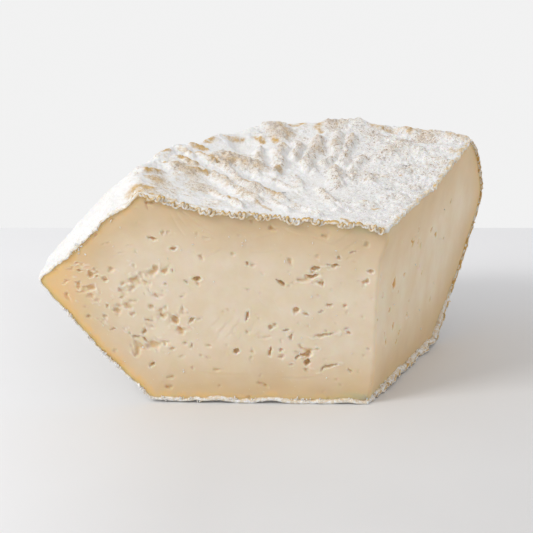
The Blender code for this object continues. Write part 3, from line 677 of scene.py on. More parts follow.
def lip_rings(ends, place, angle, sizes):
    """Rings of points round the lip along one cut, from the rind's edge to inside the paste."""
    distance, height = in_cut(ends, angle)
    step_d, step_h = np.gradient(distance), np.gradient(height)
    for step in (step_d, step_h):
        step[:] = np.convolve(np.pad(step, 3, "edge"), np.ones(7) / 7, "valid")
    length = np.hypot(step_d, step_h)
    down_d, down_h = step_h / length, -step_d / length
    down_d *= np.clip(distance / 3.0, 0, 1)
    width, thickness = from_table(sizes, place)
    offset = 200.0 if angle == RIGHT_CUT else 0.0
    crinkle = fractal(ends + offset, CRINKLE_SIZE, 2)
    ruffle = fractal(ends + offset + 50.0, CRINKLE_SIZE * 1.4, 2)
    curly = np.zeros(len(ends))
    if angle == FRONT_CUT:
        width, thickness, curly = flapped(distance, place, width, thickness)
    wave = np.sin(2 * math.pi * (distance / RUFFLE_WAVE + 0.5 * crinkle))
    width = np.maximum(width * (1 + 0.8 * crinkle + 0.12 * curly * wave), 0.04)
    thickness = np.maximum(thickness * (1 + 0.45 * ruffle), 0.3)
    along, up, outward = cut_axes(angle)
    outwards = np.repeat(outward[None], len(ends), axis=0)
    outwards[0] = outwards[-1] = mitre()
    rings, depths = [], []
    for number, (out, down) in enumerate((*LIP_PROFILE, LIP_END)):
        if number < len(LIP_PROFILE):
            folded = 0.3 * curly * fractal(ends + offset + 9.0 * number, 1.5, 1)
            curled = out * width + folded * (out > 0.5)
        else:
            curled = out * np.clip(distance / 2.5, 0, 1)
        drop = down * thickness
        moved = ends + curled[:, None] * outwards
        rings.append(moved + (down_d * drop)[:, None] * along + (down_h * drop)[:, None] * up)
        depths.append(drop)
    return rings, depths


def frill_strength(path, angle, on_flaps):
    """How far a frill swings at each point, 0 to 1: most on the flaps, or else wherever chance has it."""
    if not on_flaps:
        return np.clip(0.5 + 1.2 * fractal(path + 440.0, 3.5, 2), 0, 1)
    distance = in_cut(path, angle)[0]
    strength = np.zeros(len(path))
    for middle, half, *_ in FLAPS:
        most = CORNER_FLAP if middle < CORNER_WITHIN else 1.0
        strength = np.maximum(strength, most * np.exp(-((distance - middle) / (1.15 * half)) ** 4))
    return np.maximum(strength, 0.3 * np.clip((distance - 44) / 6, 0, 1))


def frill_path(base, inward, angle, settings):
    """The middle of a frill, which follows a lip's edge in loops, and its distances from the start."""
    cut, start, _, wave, least, most = settings[:6]
    length = lengths_along(base)
    steps = np.arange(0, length[-1], wave / FRILL_STEPS)
    path = np.stack([np.interp(steps, length, base[:, k]) for k in range(3)], axis=1)
    down = np.stack([np.interp(steps, length, inward[:, k]) for k in range(3)], axis=1)
    outward = cut_axes(angle)[2]
    ahead = np.cross(down, outward)
    phase = 2 * math.pi * steps / wave + 5.0 * fractal(path + 410.0, 3.2, 2)
    path = path + FRILL_OUT * outward
    strength = frill_strength(path, angle, cut == "front" and start < 1)
    uneven = np.clip(1 + 0.7 * fractal(path + 470.0, 2.0, 1), 0.45, 1.5)
    swing = (least + (most - least) * strength) * uneven
    curled = 0.35 * swing * np.sin(0.5 * phase)
    path = path + (swing * 0.55 * np.sin(phase))[:, None] * ahead + (swing * np.cos(phase))[:, None] * down
    return path + curled[:, None] * outward, steps


def frill(base, inward, angle, settings):
    """A ribbon of thin skin along a lip's edge: its points, its faces and how golden each point is,
    with painted shade on its flanks further in.
    """
    thickness, reach, tone = settings[6:]
    path, steps = frill_path(base, inward, angle, settings)
    outward = cut_axes(angle)[2]
    side = np.cross(outward, np.gradient(path, axis=0))
    side /= np.maximum(np.linalg.norm(side, axis=1, keepdims=True), 1e-9)
    end = np.clip(np.minimum(steps, steps[-1] - steps), 0.25, 1)
    wide = thickness * end * np.clip(1 + 0.5 * fractal(path + 500.0, 1.5, 1), 0.6, 1.5)
    rings = [path + out * reach * outward + (half * wide)[:, None] * side for out, half in FRILL_PROFILE]
    points = np.stack(rings, axis=1)
    count, across = points.shape[:2]
    numbers = np.arange(count * across).reshape(count, across)
    around = np.roll(numbers, -1, axis=1)
    corners = np.stack([numbers[:-1], around[:-1], around[1:], numbers[1:]], axis=-1)
    faces = corners.reshape(-1, 4).tolist() + [numbers[0].tolist(), numbers[-1].tolist()]
    # Gold of the crust, deepened as painted shade on the flanks that reach back in
    lip = LIP_START + (np.array(FRILL_GOLD_AND_SHADE)[None] - LIP_START) * tone * np.ones((count, 1))
    return points.reshape(-1, 3), faces, lip.ravel()


def add_trimming(name, pieces):
    """One mesh from (points, faces, lips) of many small pieces, kept above the floor."""
    starts = np.cumsum([0] + [len(points) for points, _, _ in pieces])
    faces = [[v + int(start) for v in face] for start, piece in zip(starts, pieces) for face in piece[1]]
    points = np.concatenate([points for points, _, _ in pieces])
    points[:, 2] = np.maximum(points[:, 2], 0.0)
    unmarked = {key: np.zeros(len(points)) for key in ("crest", "ochre", "grey", "patch")}
    return add_mesh(name, points, faces, {"lip": np.concatenate([lip for _, _, lip in pieces]), **unmarked})


def add_frills(lips):
    """The frills along the lips, from each cut's lip edge and the direction in from it."""
    pieces = []
    for settings in FRILLS:
        angle = CUTS[settings[0]]
        base, inward, place = lips[angle]
        chosen = (place > settings[1]) & (place < settings[2])
        pieces.append(frill(base[chosen], inward[chosen], angle, settings))
    return add_trimming("rind_frills", pieces)


def crumb_places(picker):
    """Places, sizes and tones of the crumbs on the cuts."""
    found = []
    for cut, d0, d1, h0, h1, count, smallest, largest, golden in CRUMBS:
        for _ in range(count):
            place = picker.uniform(d0, d1), picker.uniform(h0, h1)
            out = picker.uniform(0, 0.35) if h1 < FOOT_BELOW else -0.1
            found.append((CUTS[cut], (*place, out), picker.uniform(smallest, largest), golden))
    for cut, h0, h1, count, smallest, largest, golden in EDGE_CRUMBS:
        distance, height, _ = cut_outline(CUTS[cut])
        side = distance > SIDE_BEYOND
        order = np.argsort(height[side])
        for _ in range(count):
            h = picker.uniform(h0, h1)
            edge = float(np.interp(h, height[side][order], distance[side][order]))
            spot = (edge + picker.uniform(-0.1, 0.3), h, picker.uniform(0.0, 0.4))
            found.append((CUTS[cut], spot, picker.uniform(smallest, largest), golden))
    return found


def add_crumbs():
    """Small crumbs of paste and rind that stick to the cuts and along their edges."""
    picker = random.Random(11)
    shape = bmesh.new()
    bmesh.ops.create_icosphere(shape, subdivisions=2, radius=1.0)
    ball = np.array([v.co for v in shape.verts])
    ball_faces = [[v.index for v in face.verts] for face in shape.faces]
    shape.free()
    pieces = []
    for number, (angle, spot, size, golden) in enumerate(crumb_places(picker)):
        turn = np.array(Euler([picker.uniform(0, 6.28) for _ in range(3)]).to_matrix())
        stretch = (picker.uniform(0.8, 2.1), picker.uniform(0.6, 1.0), picker.uniform(0.4, 0.8))
        lumpy = 1 + 0.36 * fractal(ball * 1.3 + 7.0 * number, 1.0, 2)
        centre = on_cut(*(np.array([value]) for value in spot), angle)[0]
        crumb = centre + (ball * lumpy[:, None] * stretch * size) @ turn
        pieces.append((crumb, ball_faces, np.full(len(ball), 0.28 + 0.6 * golden * picker.random())))
    return add_trimming("rind_crumbs", pieces)


def streaks(points, table):
    """Strength of the streaks of a table at points."""
    x = points[:, 0] + 0.8 * fractal(points + 150.0, 2.5, 2)
    y = points[:, 1] + 0.8 * fractal(points + 170.0, 2.5, 2)
    strongest = np.zeros(len(points))
    for row in table:
        strongest = np.maximum(strongest, row[5] * np.exp(-squares_apart(x, y, row)))
    return strongest * (points[:, 2] > TOP_ABOVE)


def spots(points, table):
    """Strength of the round spots of a table at points."""
    return streaks(points, [(x, y, x + 0.01, y, radius, strength) for x, y, radius, strength in table])


class Shell:
    """A mesh that grows by rows of points, each with its lip, its crest and its place along the section."""

    def __init__(self, *first):
        self.rows = [first]
        self.size = len(first[0])
        self.faces = []

    def add(self, points, lip, place):
        """Adds a row of points, and returns their numbers."""
        self.rows.append((points, lip, np.zeros(len(points)), place))
        self.size += len(points)
        return list(range(self.size - len(points), self.size))

    def joined(self):
        """All points, with their lips, crests and places."""
        return [np.concatenate(column) for column in zip(*self.rows)]


def edge_tone(points, index, gap):
    """How creamy the outer surface is beside the cuts, and more so in frayed spots of the shoulder."""
    shoulder = np.interp(part_place(index), (1.0, 1.1, 1.85, 1.95), (0, 1, 1, 0))
    frayed = shoulder * np.clip(0.55 + 1.3 * fractal(points + 600.0, 1.8, 2), 0, 1) * (gap < 5)
    return np.exp(-(gap / (1.0 + 0.9 * frayed)) ** 2) * (0.38 + 0.40 * frayed)


def row_faces(rows):
    """Faces between the rows of the outer surface, the first and last of which are single points."""
    faces = []
    for lower, upper in zip(rows, rows[1:]):
        if len(lower) == 1:
            faces += [[lower[0], upper[i], upper[i + 1]] for i in range(len(upper) - 1)]
        elif len(upper) == 1:
            faces += [[lower[i], upper[0], lower[i + 1]] for i in range(len(lower) - 1)]
        else:
            faces += strips(lower, upper)
    return faces


def add_lips(shell, ends, part):
    """Adds a lip along each cut, with points in common at the axis. Returns the last ring of each, and
    the edges that the frills follow."""
    outer = shell.rows[0][0]
    last, edges, corners = [], {}, []
    settings = (FRONT_CUT, FRONT_LIP, FRONT_LIP_TONE), (RIGHT_CUT, RIGHT_LIP, RIGHT_LIP_TONE)
    for angle, sizes, tones in settings:
        outward = cut_axes(angle)[2]
        previous = ends[angle]
        rings, depths = lip_rings(outer[previous], part, angle, sizes)
        inward = rings[2] - outer[previous]
        inward -= (inward @ outward)[:, None] * outward
        inward /= np.maximum(np.linalg.norm(inward, axis=1, keepdims=True), 1e-9)
        edges[angle] = (rings[2], inward, part)
        tone = from_table(tones, part)[0]
        for number, (ring, depth) in enumerate(zip(rings, depths)):
            numbers = shell.add(ring, LIP_START + (0.7 * depth / depths[-1]) * tone, part)
            if angle == FRONT_CUT:
                corners.append((numbers[0], numbers[-1]))
            numbers[0], numbers[-1] = corners[number]
            shell.faces += crossings(previous, numbers)
            previous = numbers
        last.append(previous)
    return last, edges


def add_inside(shell, places, part, front, right):
    """Adds the plain inner surface, from the front lip's last ring to the right one's."""
    rows = [front]
    for across in np.linspace(0, 1, INNER_COLUMNS + 1)[1:-1]:
        share = np.full(len(places), 0.02 + 0.96 * across)
        inset = INNER_INSET * np.clip(0.4 + form_at(share, places)[:, 0] / 12, 0, 1)
        points = plain_points(share, places) - plain_normals(share, places) * inset[:, None]
        numbers = shell.add(points, np.zeros(len(places)), part)
        numbers[0], numbers[-1] = front[0], front[-1]
        rows.append(numbers)
    for left, next_row in zip(rows, [*rows[1:], right]):
        shell.faces += crossings(left, next_row)


def add_rind():
    """The rind: outer surface, lips along both cuts, and a plainer inner surface that closes it."""
    places, columns = rind_rows()
    counts = [1 if r in (0, len(places) - 1) else n + 1 for r, n in enumerate(columns)]
    starts = np.concatenate([[0], np.cumsum(counts)])
    share = np.concatenate([np.linspace(0, 1, n) if n > 1 else [0.5] for n in counts])
    index = np.repeat(places, counts)
    points, crest, gap = rind_points(share, index)
    points[0] = (EDGE_LEAN * points[0, 2], 0, points[0, 2])
    points[-1] = (0, 0, 0)
    rows = [list(range(a, b)) for a, b in zip(starts, starts[1:])]
    ends = {}
    for angle, column in ((FRONT_CUT, 0), (RIGHT_CUT, -1)):
        outward = cut_axes(angle)[2]
        ends[angle] = [row[column] for row in rows]
        points[ends[angle]] -= (points[ends[angle]] @ outward)[:, None] * outward
    shell = Shell(points, edge_tone(points, index, gap), crest, part_place(index))
    shell.faces += row_faces(rows)
    part = part_place(places)
    last, edges = add_lips(shell, ends, part)
    add_inside(shell, places, part, *last)
    points, lip, crest, place = shell.joined()
    used, faces = without_spares(points, shell.faces)
    points[:, 2] = np.maximum(points[:, 2], 0.0)
    on_top = used & (np.arange(len(points)) < starts[-1]) & (points[:, 2] > TOP_ABOVE)
    values = {"lip": lip, "crest": crest, "part": place}
    tables = (("ochre", streaks, OCHRE_STREAKS), ("grey", spots, GREY_SPOTS), ("patch", spots, WORN_PATCHES))
    for name, maker, table in tables:
        values[name] = np.zeros(len(points))
        values[name][on_top] = maker(points[on_top], table)
    values = {name: column[used] for name, column in values.items()}
    return add_mesh("cheese_rind", points[used], faces, values), edges


# The paste

def cut_outline(angle):
    """Distances, heights and section places of a cut's outline, inset under the rind."""
    share = 0.0 if angle == FRONT_CUT else 1.0
    index = np.linspace(0, FORM.shape[1] - 1, 1400)
    shares = np.full(len(index), share)
    distance, height = in_cut(rind_points(shares, index)[0], angle)
    step_d, step_h = np.gradient(distance), np.gradient(height)
    length = np.maximum(np.hypot(step_d, step_h), 1e-9)
    distance, height = distance + PASTE_INSET * step_h / length, height - PASTE_INSET * step_d / length
    distance[0] = distance[-1] = 0
    return distance, height, index


def face_grid(angle):
    """A cut face's grid of distances and heights [column, row], its outline, and section places of its
    top and bottom edges."""
    distance, height, index = cut_outline(angle)
    tip = int(np.argmax(distance))
    end = distance[tip] - 0.12
    columns = np.linspace(0, end, FACE_COLUMNS + 1)
    top_d = np.maximum.accumulate(distance[:tip + 1])
    low_d = np.maximum.accumulate(distance[tip:][::-1])
    low_h, low_index = height[tip:][::-1], index[tip:][::-1]
    top = np.interp(columns, top_d, height[:tip + 1])
    low = np.interp(columns, low_d, low_h)
    top_place = np.interp(columns, top_d, index[:tip + 1])
    low_place = np.interp(columns, low_d, low_index)
    rows = np.linspace(0, 1, FACE_ROWS + 1)
    heights = low[:, None] + (top - low)[:, None] * rows
    distances = np.repeat(columns[:, None], FACE_ROWS + 1, axis=1)
    return distances, heights, (distance, height, index), top_place, low_place


def nearest(points, outline):
    """Distance from each point to the nearest point of an outline, and which point that is."""
    result, which = np.empty(len(points)), np.empty(len(points), int)
    for start in range(0, len(points), AT_ONCE):
        chosen = slice(start, start + AT_ONCE)
        apart = ((points[chosen, None, :] - outline[None, :, :]) ** 2).sum(-1)
        which[chosen] = apart.argmin(1)
        result[chosen] = np.sqrt(apart.min(1))
    return result, which


def turned(x, y, centre, axes, tilt):
    """Distances of places on a cut from a centre, along a tilted line and across it."""
    dx, dy = x - centre @ axes[0], y - centre @ axes[1]
    turn = math.radians(tilt)
    return dx * math.cos(turn) + dy * math.sin(turn), dy * math.cos(turn) - dx * math.sin(turn)


def eye_pits(x, y, angle, axes):
    """Depth of the eyes at places on a cut, and strength of their rims."""
    along, up, _ = cut_axes(angle)
    eyes, widened = (FRONT_EYES, 1.0) if angle == FRONT_CUT else (RIGHT_EYES, RIGHT_EYES_WIDENED)
    depth, rim = np.zeros(len(x)), np.zeros(len(x))
    for place, height, length, width, tilt, deep in eyes:
        place = place + (EDGE_LEAN * height if angle == FRONT_CUT else 0)
        a, b = turned(x, y, along * place + up * height, axes, tilt)
        off = np.hypot(a / (length / 2), b / (widened * width / 2))
        wall = 1 - np.clip((off - 0.5) / 0.6, 0, 1)
        wall = wall * wall * (3 - 2 * wall)
        bowl = 0.65 + 0.35 * np.clip(1 - off * off, 0, 1)
        depth = np.maximum(depth, EYE_DEPTH * deep * wall * bowl)
        rim = np.maximum(rim, np.exp(-((off - 1.18) / 0.16) ** 2))
    return depth, rim


def knife_marks(x, y, axes):
    """Depth of the knife's marks at places on the front cut."""
    along, up, _ = cut_axes(FRONT_CUT)
    marks = np.zeros(len(x))
    for place, height, length, tilt, deep in KNIFE_MARKS:
        a, b = turned(x, y, along * (place + EDGE_LEAN * height) + up * height, axes, tilt)
        a = a / (length / 2)
        b = b - 0.5 * a * a
        groove = np.exp(-(b / KNIFE_WIDTH) ** 2) - 0.6 * np.exp(-((b - 0.6) / KNIFE_WIDTH) ** 2)
        marks = marks + deep * groove * np.clip(1.2 - a * a, 0, 1)
    return marks


def crumbly_pits(points, distances, heights):
    """Depth of the pits and cracks of the front cut's crumbly patches, and strength of their rims."""
    texture = fractal(points * (1, 1, 1.2) + 25.0, CRUMBLY_SIZE, 2)
    patch = np.zeros(len(points))
    for place, height, half_width, half_height, strength in CRUMBLY:
        dx = (distances - EDGE_LEAN * heights - place) / half_width
        dy = (heights - height) / half_height
        patch = np.maximum(patch, strength * np.exp(-(dx * dx + dy * dy)))
    level = texture * 1.7 + patch - 1.0
    holes = np.clip(level / 0.55, 0, 1) ** 0.8
    rim = 0.8 * np.exp(-((level + 0.12) / 0.1) ** 2) * (patch > 0.15)
    crack = np.abs(fractal(points + 130.0, CRACK_SIZE, 2))
    torn = np.clip(1 - crack / 0.18, 0, 1) * np.clip((patch + 0.9 * texture - 0.45) / 0.3, 0, 1)
    return CRUMBLY_DEPTH * np.maximum(holes, 0.7 * torn), rim


def face_depths(angle, points, distances, heights, gap):
    """Depth of a cut's pits, strength of their raised rims, and depth of the knife's marks."""
    outward = cut_axes(angle)[2]
    rightwards = np.cross((0.0, 0.0, 1.0), outward)
    rightwards /= np.linalg.norm(rightwards)
    axes = (rightwards, np.cross(outward, rightwards))
    x, y = points @ axes[0], points @ axes[1]
    warped_x = x + EYE_WARP * fractal(points + 10.0, EYE_WARP_SIZE, 2)
    warped_y = y + EYE_WARP * fractal(points + 60.0, EYE_WARP_SIZE, 2)
    depth, rim = eye_pits(warped_x, warped_y, angle, axes)
    marks = np.zeros(len(points))
    if angle == FRONT_CUT:
        marks = knife_marks(x, y, axes)
        crumbly, crumbly_rim = crumbly_pits(points, distances, heights)
        depth, rim = np.maximum(depth, crumbly), np.maximum(rim, crumbly_rim)
    inside = np.clip(gap / 2.0, 0, 1)
    return depth * inside, rim * inside * (depth < 0.15), marks * inside


def face_points(angle):
    """A cut face's points [column, row], with their eye depth and distance from the rind."""
    distances, heights, outline, top_place, low_place = face_grid(angle)
    d, h = distances.ravel(), heights.ravel()
    gap, which = nearest(np.column_stack([d, h]), np.column_stack(outline[:2])[::3])
    place = part_place(outline[2][::3])[which]
    golden = from_table(GOLDEN_FRONT if angle == FRONT_CUT else GOLDEN_RIGHT, place)[0]
    tan = from_table(TAN_FRONT if angle == FRONT_CUT else TAN_RIGHT, place)[0]
    plain = on_cut(d, h, np.zeros(len(d)), angle)
    depth, rim, marks = face_depths(angle, plain, d, h, gap)
    wave = WAVE_HEIGHT * (fractal(plain + 80.0, WAVE_SIZE, 2) - 0.4)
    edge = EDGE_ROUNDING * np.clip(1 - d / EDGE_ROUND_REACH, 0, 1) ** 2
    steady = np.clip(d / 6, 0, 1)
    out = -PASTE_RECESS * steady + wave * steady - edge - depth + RIM_HEIGHT * rim - marks
    out_free = np.where(d < 1e-6, -EDGE_ROUNDING * 0.8 - 0.8 * depth, out)
    points = on_cut(d, h, out_free, angle)
    first = d < 1e-6
    edge_points = on_cut(d[first], h[first], np.zeros(first.sum()), angle)
    points[first] = edge_points + out_free[first][:, None] * mitre()
    shift = np.interp(h, *zip(*EDGE_SHIFT)) * np.exp(-(d / EDGE_SHIFT_REACH) ** 2)
    points[:, 0] += shift
    shape = (*distances.shape, 3)
    # Depth and rim also set where the material paints shade in the eyes and highlight on their rims
    numbers = {"depth": depth, "rim": rim, "gap": gap, "golden": golden, "tan": tan}
    # Marks the right cut, whose paste the material paints lighter and warmer against its shade
    numbers["right"] = np.full(len(d), float(angle == RIGHT_CUT))
    numbers["tip"] = np.clip((d - 84) / 12, 0, 1)
    return points.reshape(shape), numbers, top_place, low_place


def round_edge(grid):
    """Numbers of a face's points along its top, end and bottom edges."""
    return [int(v) for v in (*grid[:, -1], *grid[-1, -2:0:-1], *grid[::-1, 0])]


def edge_places(top, low):
    """Section places of a face's points along its top, end and bottom edges."""
    return np.array([*top, *np.linspace(top[-1], low[-1], FACE_ROWS + 1)[1:-1], *low[::-1]])


def add_paste():
    """The paste: the two cut faces with their eyes, closed by plain surfaces under the rind."""
    front, front_values, *front_edges = face_points(FRONT_CUT)
    right, right_values, *right_edges = face_points(RIGHT_CUT)
    count = front[..., 0].size
    front_numbers = np.arange(count).reshape(front.shape[:2])
    right_numbers = front_numbers + count
    right_numbers[0] = front_numbers[0]
    faces = []
    for grid in (front_numbers, right_numbers):
        corners = np.stack([grid[:-1, :-1], grid[1:, :-1], grid[1:, 1:], grid[:-1, 1:]], axis=-1)
        faces += corners.reshape(-1, 4).tolist()
    points = [front.reshape(-1, 3), right.reshape(-1, 3)]
    values = {name: [front_values[name], right_values[name]] for name in front_values}
    first = previous = round_edge(front_numbers)
    front_place, right_place = edge_places(*front_edges), edge_places(*right_edges)
    size = 2 * count
    for across in np.linspace(0, 1, SIDE_COLUMNS + 1)[1:-1]:
        place = front_place * (1 - across) + right_place * across
        share = np.full(len(place), 0.015 + 0.97 * across)
        base, normal = plain_points(share, place), plain_normals(share, place)
        inset = SIDE_INSET * np.clip(0.5 + form_at(share, place)[:, 0] / 12, 0, 1)
        numbers = list(range(size, size + len(place)))
        numbers[0], numbers[-1] = first[0], first[-1]
        points.append(base - normal * inset[:, None])
        for parts in values.values():
            parts.append(np.zeros(len(place)))
        faces += crossings(previous, numbers)
        previous = numbers
        size += len(place)
    faces += crossings(previous, round_edge(right_numbers))
    points = np.concatenate(points)
    used, faces = without_spares(points, faces)
    points[:, 2] = np.maximum(points[:, 2], 0.0)
    attributes = {name: np.concatenate(parts)[used] for name, parts in values.items()}
    return add_mesh("cheese_paste", points[used], faces, attributes)


# Materials

class Nodes:
    """Short calls for building a material's nodes."""

    def __init__(self, name):
        self.material = bpy.data.materials.new(name)
        self.material.use_nodes = True
        self.tree = self.material.node_tree
        self.shader = self.tree.nodes["Principled BSDF"]

    def link(self, source, target):
        self.tree.links.new(source, target)

    def attribute(self, name):
        node = self.tree.nodes.new("ShaderNodeAttribute")
        node.attribute_name = name
        return node.outputs["Fac"]

    def place(self, scale=(1, 1, 1), turn=(0, 0, 0)):
        coordinates = self.tree.nodes.new("ShaderNodeTexCoord")
        mapping = self.tree.nodes.new("ShaderNodeMapping")
        mapping.inputs["Scale"].default_value = scale
        mapping.inputs["Rotation"].default_value = turn
        self.link(coordinates.outputs["Object"], mapping.inputs["Vector"])
        return mapping.outputs["Vector"]

    def along(self, axis):
        parts = self.tree.nodes.new("ShaderNodeSeparateXYZ")
        self.link(self.place(), parts.inputs["Vector"])
        return parts.outputs[axis]

    def noise(self, size, detail=3.0, roughness=0.55, scale=(1, 1, 1), turn=(0, 0, 0), distortion=0.0):
        node = self.tree.nodes.new("ShaderNodeTexNoise")
        node.inputs["Scale"].default_value = 1000.0 / size
        node.inputs["Detail"].default_value = detail
        node.inputs["Roughness"].default_value = roughness
        node.inputs["Distortion"].default_value = distortion
        self.link(self.place(scale, turn), node.inputs["Vector"])
        return node.outputs["Fac"]

    def ramp(self, value, stops):
        node = self.tree.nodes.new("ShaderNodeValToRGB")
        ramp = node.color_ramp
        while len(ramp.elements) < len(stops):
            ramp.elements.new(0.5)
        for element, (place, colour) in zip(ramp.elements, stops):
            element.position = place
            element.color = (*colour, 1.0) if hasattr(colour, "__len__") else (colour, colour, colour, 1.0)
        self.link(value, node.inputs["Fac"])
        return node.outputs["Color"]

    def maths(self, operation, first, second=0.0, clamp=False):
        node = self.tree.nodes.new("ShaderNodeMath")
        node.operation = operation
        node.use_clamp = clamp
        for socket, value in zip(node.inputs, (first, second)):
            if isinstance(value, (int, float)):
                socket.default_value = value
            else:
                self.link(value, socket)
        return node.outputs["Value"]

    def range(self, value, low, high, to_low=0.0, to_high=1.0):
        node = self.tree.nodes.new("ShaderNodeMapRange")
        node.inputs["From Min"].default_value = low
        node.inputs["From Max"].default_value = high
        node.inputs["To Min"].default_value = to_low
        node.inputs["To Max"].default_value = to_high
        self.link(value, node.inputs["Value"])
        return node.outputs["Result"]

    def mix(self, share, first, second, kind="MIX"):
        node = self.tree.nodes.new("ShaderNodeMix")
        node.data_type = "RGBA"
        node.blend_type = kind
        sockets = (node.inputs["Factor"], node.inputs[6], node.inputs[7])
        for socket, value in zip(sockets, (share, first, second)):
            if isinstance(value, (int, float)):
                socket.default_value = value
            elif isinstance(value, tuple):
                socket.default_value = (*value, 1.0)
            else:
                self.link(value, socket)
        return node.outputs[2]

    def bump(self, height, strength, distance, before=None):
        node = self.tree.nodes.new("ShaderNodeBump")
        node.inputs["Strength"].default_value = strength
        node.inputs["Distance"].default_value = distance * MM
        self.link(height, node.inputs["Height"])
        if before is not None:
            self.link(before, node.inputs["Normal"])
        return node.outputs["Normal"]

    def times(self, first, second, clamp=False):
        return self.maths("MULTIPLY", first, second, clamp)

    def plus(self, first, second, clamp=False):
        return self.maths("ADD", first, second, clamp)

    def finish(self, colour, roughness, normal=None):
        self.link(colour, self.shader.inputs["Base Color"])
        self.shader.inputs["Roughness"].default_value = roughness
        if normal is not None:
            self.link(normal, self.shader.inputs["Normal"])

    def translucent(self, weight, radius, scale):
        self.shader.inputs["Subsurface Weight"].default_value = weight
        self.shader.inputs["Subsurface Radius"].default_value = radius
        self.shader.inputs["Subsurface Scale"].default_value = scale


RIND_WHITE = (0.95, 0.94, 0.915)
RIND_CREAM = (0.81, 0.735, 0.635)
RIND_WARM = (0.77, 0.61, 0.39)
RIND_PINK = (0.70, 0.62, 0.565)
RIND_STRAW = (0.70, 0.51, 0.27)
RIND_TAN = (0.64, 0.52, 0.39)
RIND_BROWN = (0.36, 0.24, 0.15)
RIND_OCHRE = (0.72, 0.46, 0.15)
RIND_GREY = (0.24, 0.21, 0.19)
LIP_CREAM = (0.84, 0.74, 0.58)
LIP_GOLD = (0.72, 0.47, 0.17)
LIP_BROWN = (0.56, 0.36, 0.14)


def rind_wear(n):
    """How far the bloom is worn off: on crests, in patches, and on the side mostly away from the front."""
    part, back = n.attribute("part"), n.along("Y")
    worn = n.plus(n.times(n.attribute("crest"), 0.34), n.times(n.attribute("patch"), 0.7))
    worn = n.plus(worn, n.range(n.noise(9.0, 3.0), 0.3, 0.75, 0.0, 0.5))
    worn = n.plus(worn, n.range(n.noise(1.5, 4.0, 0.7), 0.3, 0.7, -0.28, 0.28))
    on_back = n.times(n.range(part, 1.02, 1.15), n.range(back, -0.03, 0.02))
    worn = n.range(n.plus(worn, n.times(on_back, 0.28)), 0.32, 0.96)
    share = n.maths("MAXIMUM", n.range(part, 1.02, 1.15, 1.0, 0.25), n.range(back, -0.035, 0.01, 0.25, 0.9))
    return n.times(worn, share)


def worn_colour(n, worn):
    """White bloom, with cream, pink, straw and tan where it is worn, and brown lines in the wrinkles."""
    across = n.along("X")
    colour = n.mix(worn, RIND_WHITE, n.mix(n.range(across, 0.0, -0.035, 0.0, 0.9), RIND_CREAM, RIND_WARM))
    pink = n.times(n.range(worn, 0.4, 0.95, 0.0, 0.7), n.range(n.noise(1.8, 3.0, 0.6), 0.42, 0.62))
    straw = n.times(n.range(n.noise(3.4, 3.0, 0.65), 0.5, 0.64), n.range(worn, 0.3, 0.8, 0.0, 0.7))
    tan = n.times(n.range(n.noise(1.6, 3.0, 0.6), 0.52, 0.68), n.range(worn, 0.2, 0.85, 0.0, 0.75))
    veins = n.noise(2.0, 2.0, 0.5, distortion=1.8)
    near_vein = n.maths("ABSOLUTE", n.maths("SUBTRACT", veins, 0.5))
    shown = n.plus(n.range(worn, 0.0, 0.6, 0.10, 0.75), n.range(across, 0.0, 0.03, 0.0, 0.40))
    lines = n.times(n.range(near_vein, 0.030, 0.008), shown)
    for share, tone in ((pink, RIND_PINK), (straw, RIND_STRAW), (tan, RIND_TAN), (lines, RIND_BROWN)):
        colour = n.mix(share, colour, tone)
    return colour


def lip_colour(n, lip):
    """Cream and white at a lip's start, and gold and brown further down it."""
    gold = n.mix(n.range(n.noise(4.0, 3.0), 0.4, 0.65), LIP_GOLD, LIP_BROWN)
    pale = n.mix(n.range(n.noise(1.1, 2.0), 0.42, 0.6), LIP_CREAM, RIND_WHITE)
    lined = n.plus(lip, n.range(n.noise(1.3, 2.0), 0.3, 0.7, -0.14, 0.14))
    return n.mix(n.range(lined, 0.6, 0.86), pale, gold)


def rind_material():
    """White bloom worn off the crests, brown lines in the wrinkles, ochre streaks, golden lips,
    and painted shade on the frills' inner flanks.
    """
    n = Nodes("rind_bloom")
    colour = worn_colour(n, rind_wear(n))
    ochre = n.times(n.attribute("ochre"), n.range(n.noise(1.1, 4.0, 0.75), 0.3, 0.6, 0.1, 1.2))
    stain = n.mix(n.range(n.noise(1.4, 3.0, 0.7), 0.4, 0.6), RIND_OCHRE, LIP_BROWN)
    colour = n.mix(n.range(ochre, 0.05, 0.65, 0.0, 0.92), colour, stain)
    grey = n.times(n.attribute("grey"), n.range(n.noise(0.6, 2.0), 0.42, 0.6))
    colour = n.mix(n.range(grey, 0.1, 0.7), colour, RIND_GREY)
    lip = n.attribute("lip")
    # Lips in cream, gold and brown; on the frills the gold of the inner flanks is partly painted shade
    colour = n.mix(n.range(lip, 0.2, 0.4), colour, lip_colour(n, lip))
    worms = n.noise(1.2, 2.0, 0.5, distortion=1.2)
    folded = n.maths("ABSOLUTE", n.maths("SUBTRACT", worms, 0.5))
    curls = n.bump(n.range(folded, 0.10, 0.0), 0.55, 0.34)
    coarse = n.bump(n.noise(0.9, 4.0, 0.7), 0.40, 0.24, curls)
    n.finish(colour, 0.85, n.bump(n.noise(0.3, 2.0), 0.35, 0.07, coarse))
    n.translucent(0.2, (1.0, 0.75, 0.5), 0.0012)
    return n.material


PASTE_IVORY = (0.79, 0.66, 0.48)
PASTE_LIGHT = (0.83, 0.715, 0.56)
PASTE_TAN = (0.71, 0.53, 0.31)
PASTE_BROWN = (0.65, 0.48, 0.29)
PASTE_GOLD = (0.90, 0.56, 0.22)
PASTE_WARM = (0.84, 0.57, 0.28)
# Pale raised rims round the eyes, partly painted highlight
PASTE_RIM_AND_HIGHLIGHT = (0.92, 0.86, 0.76)
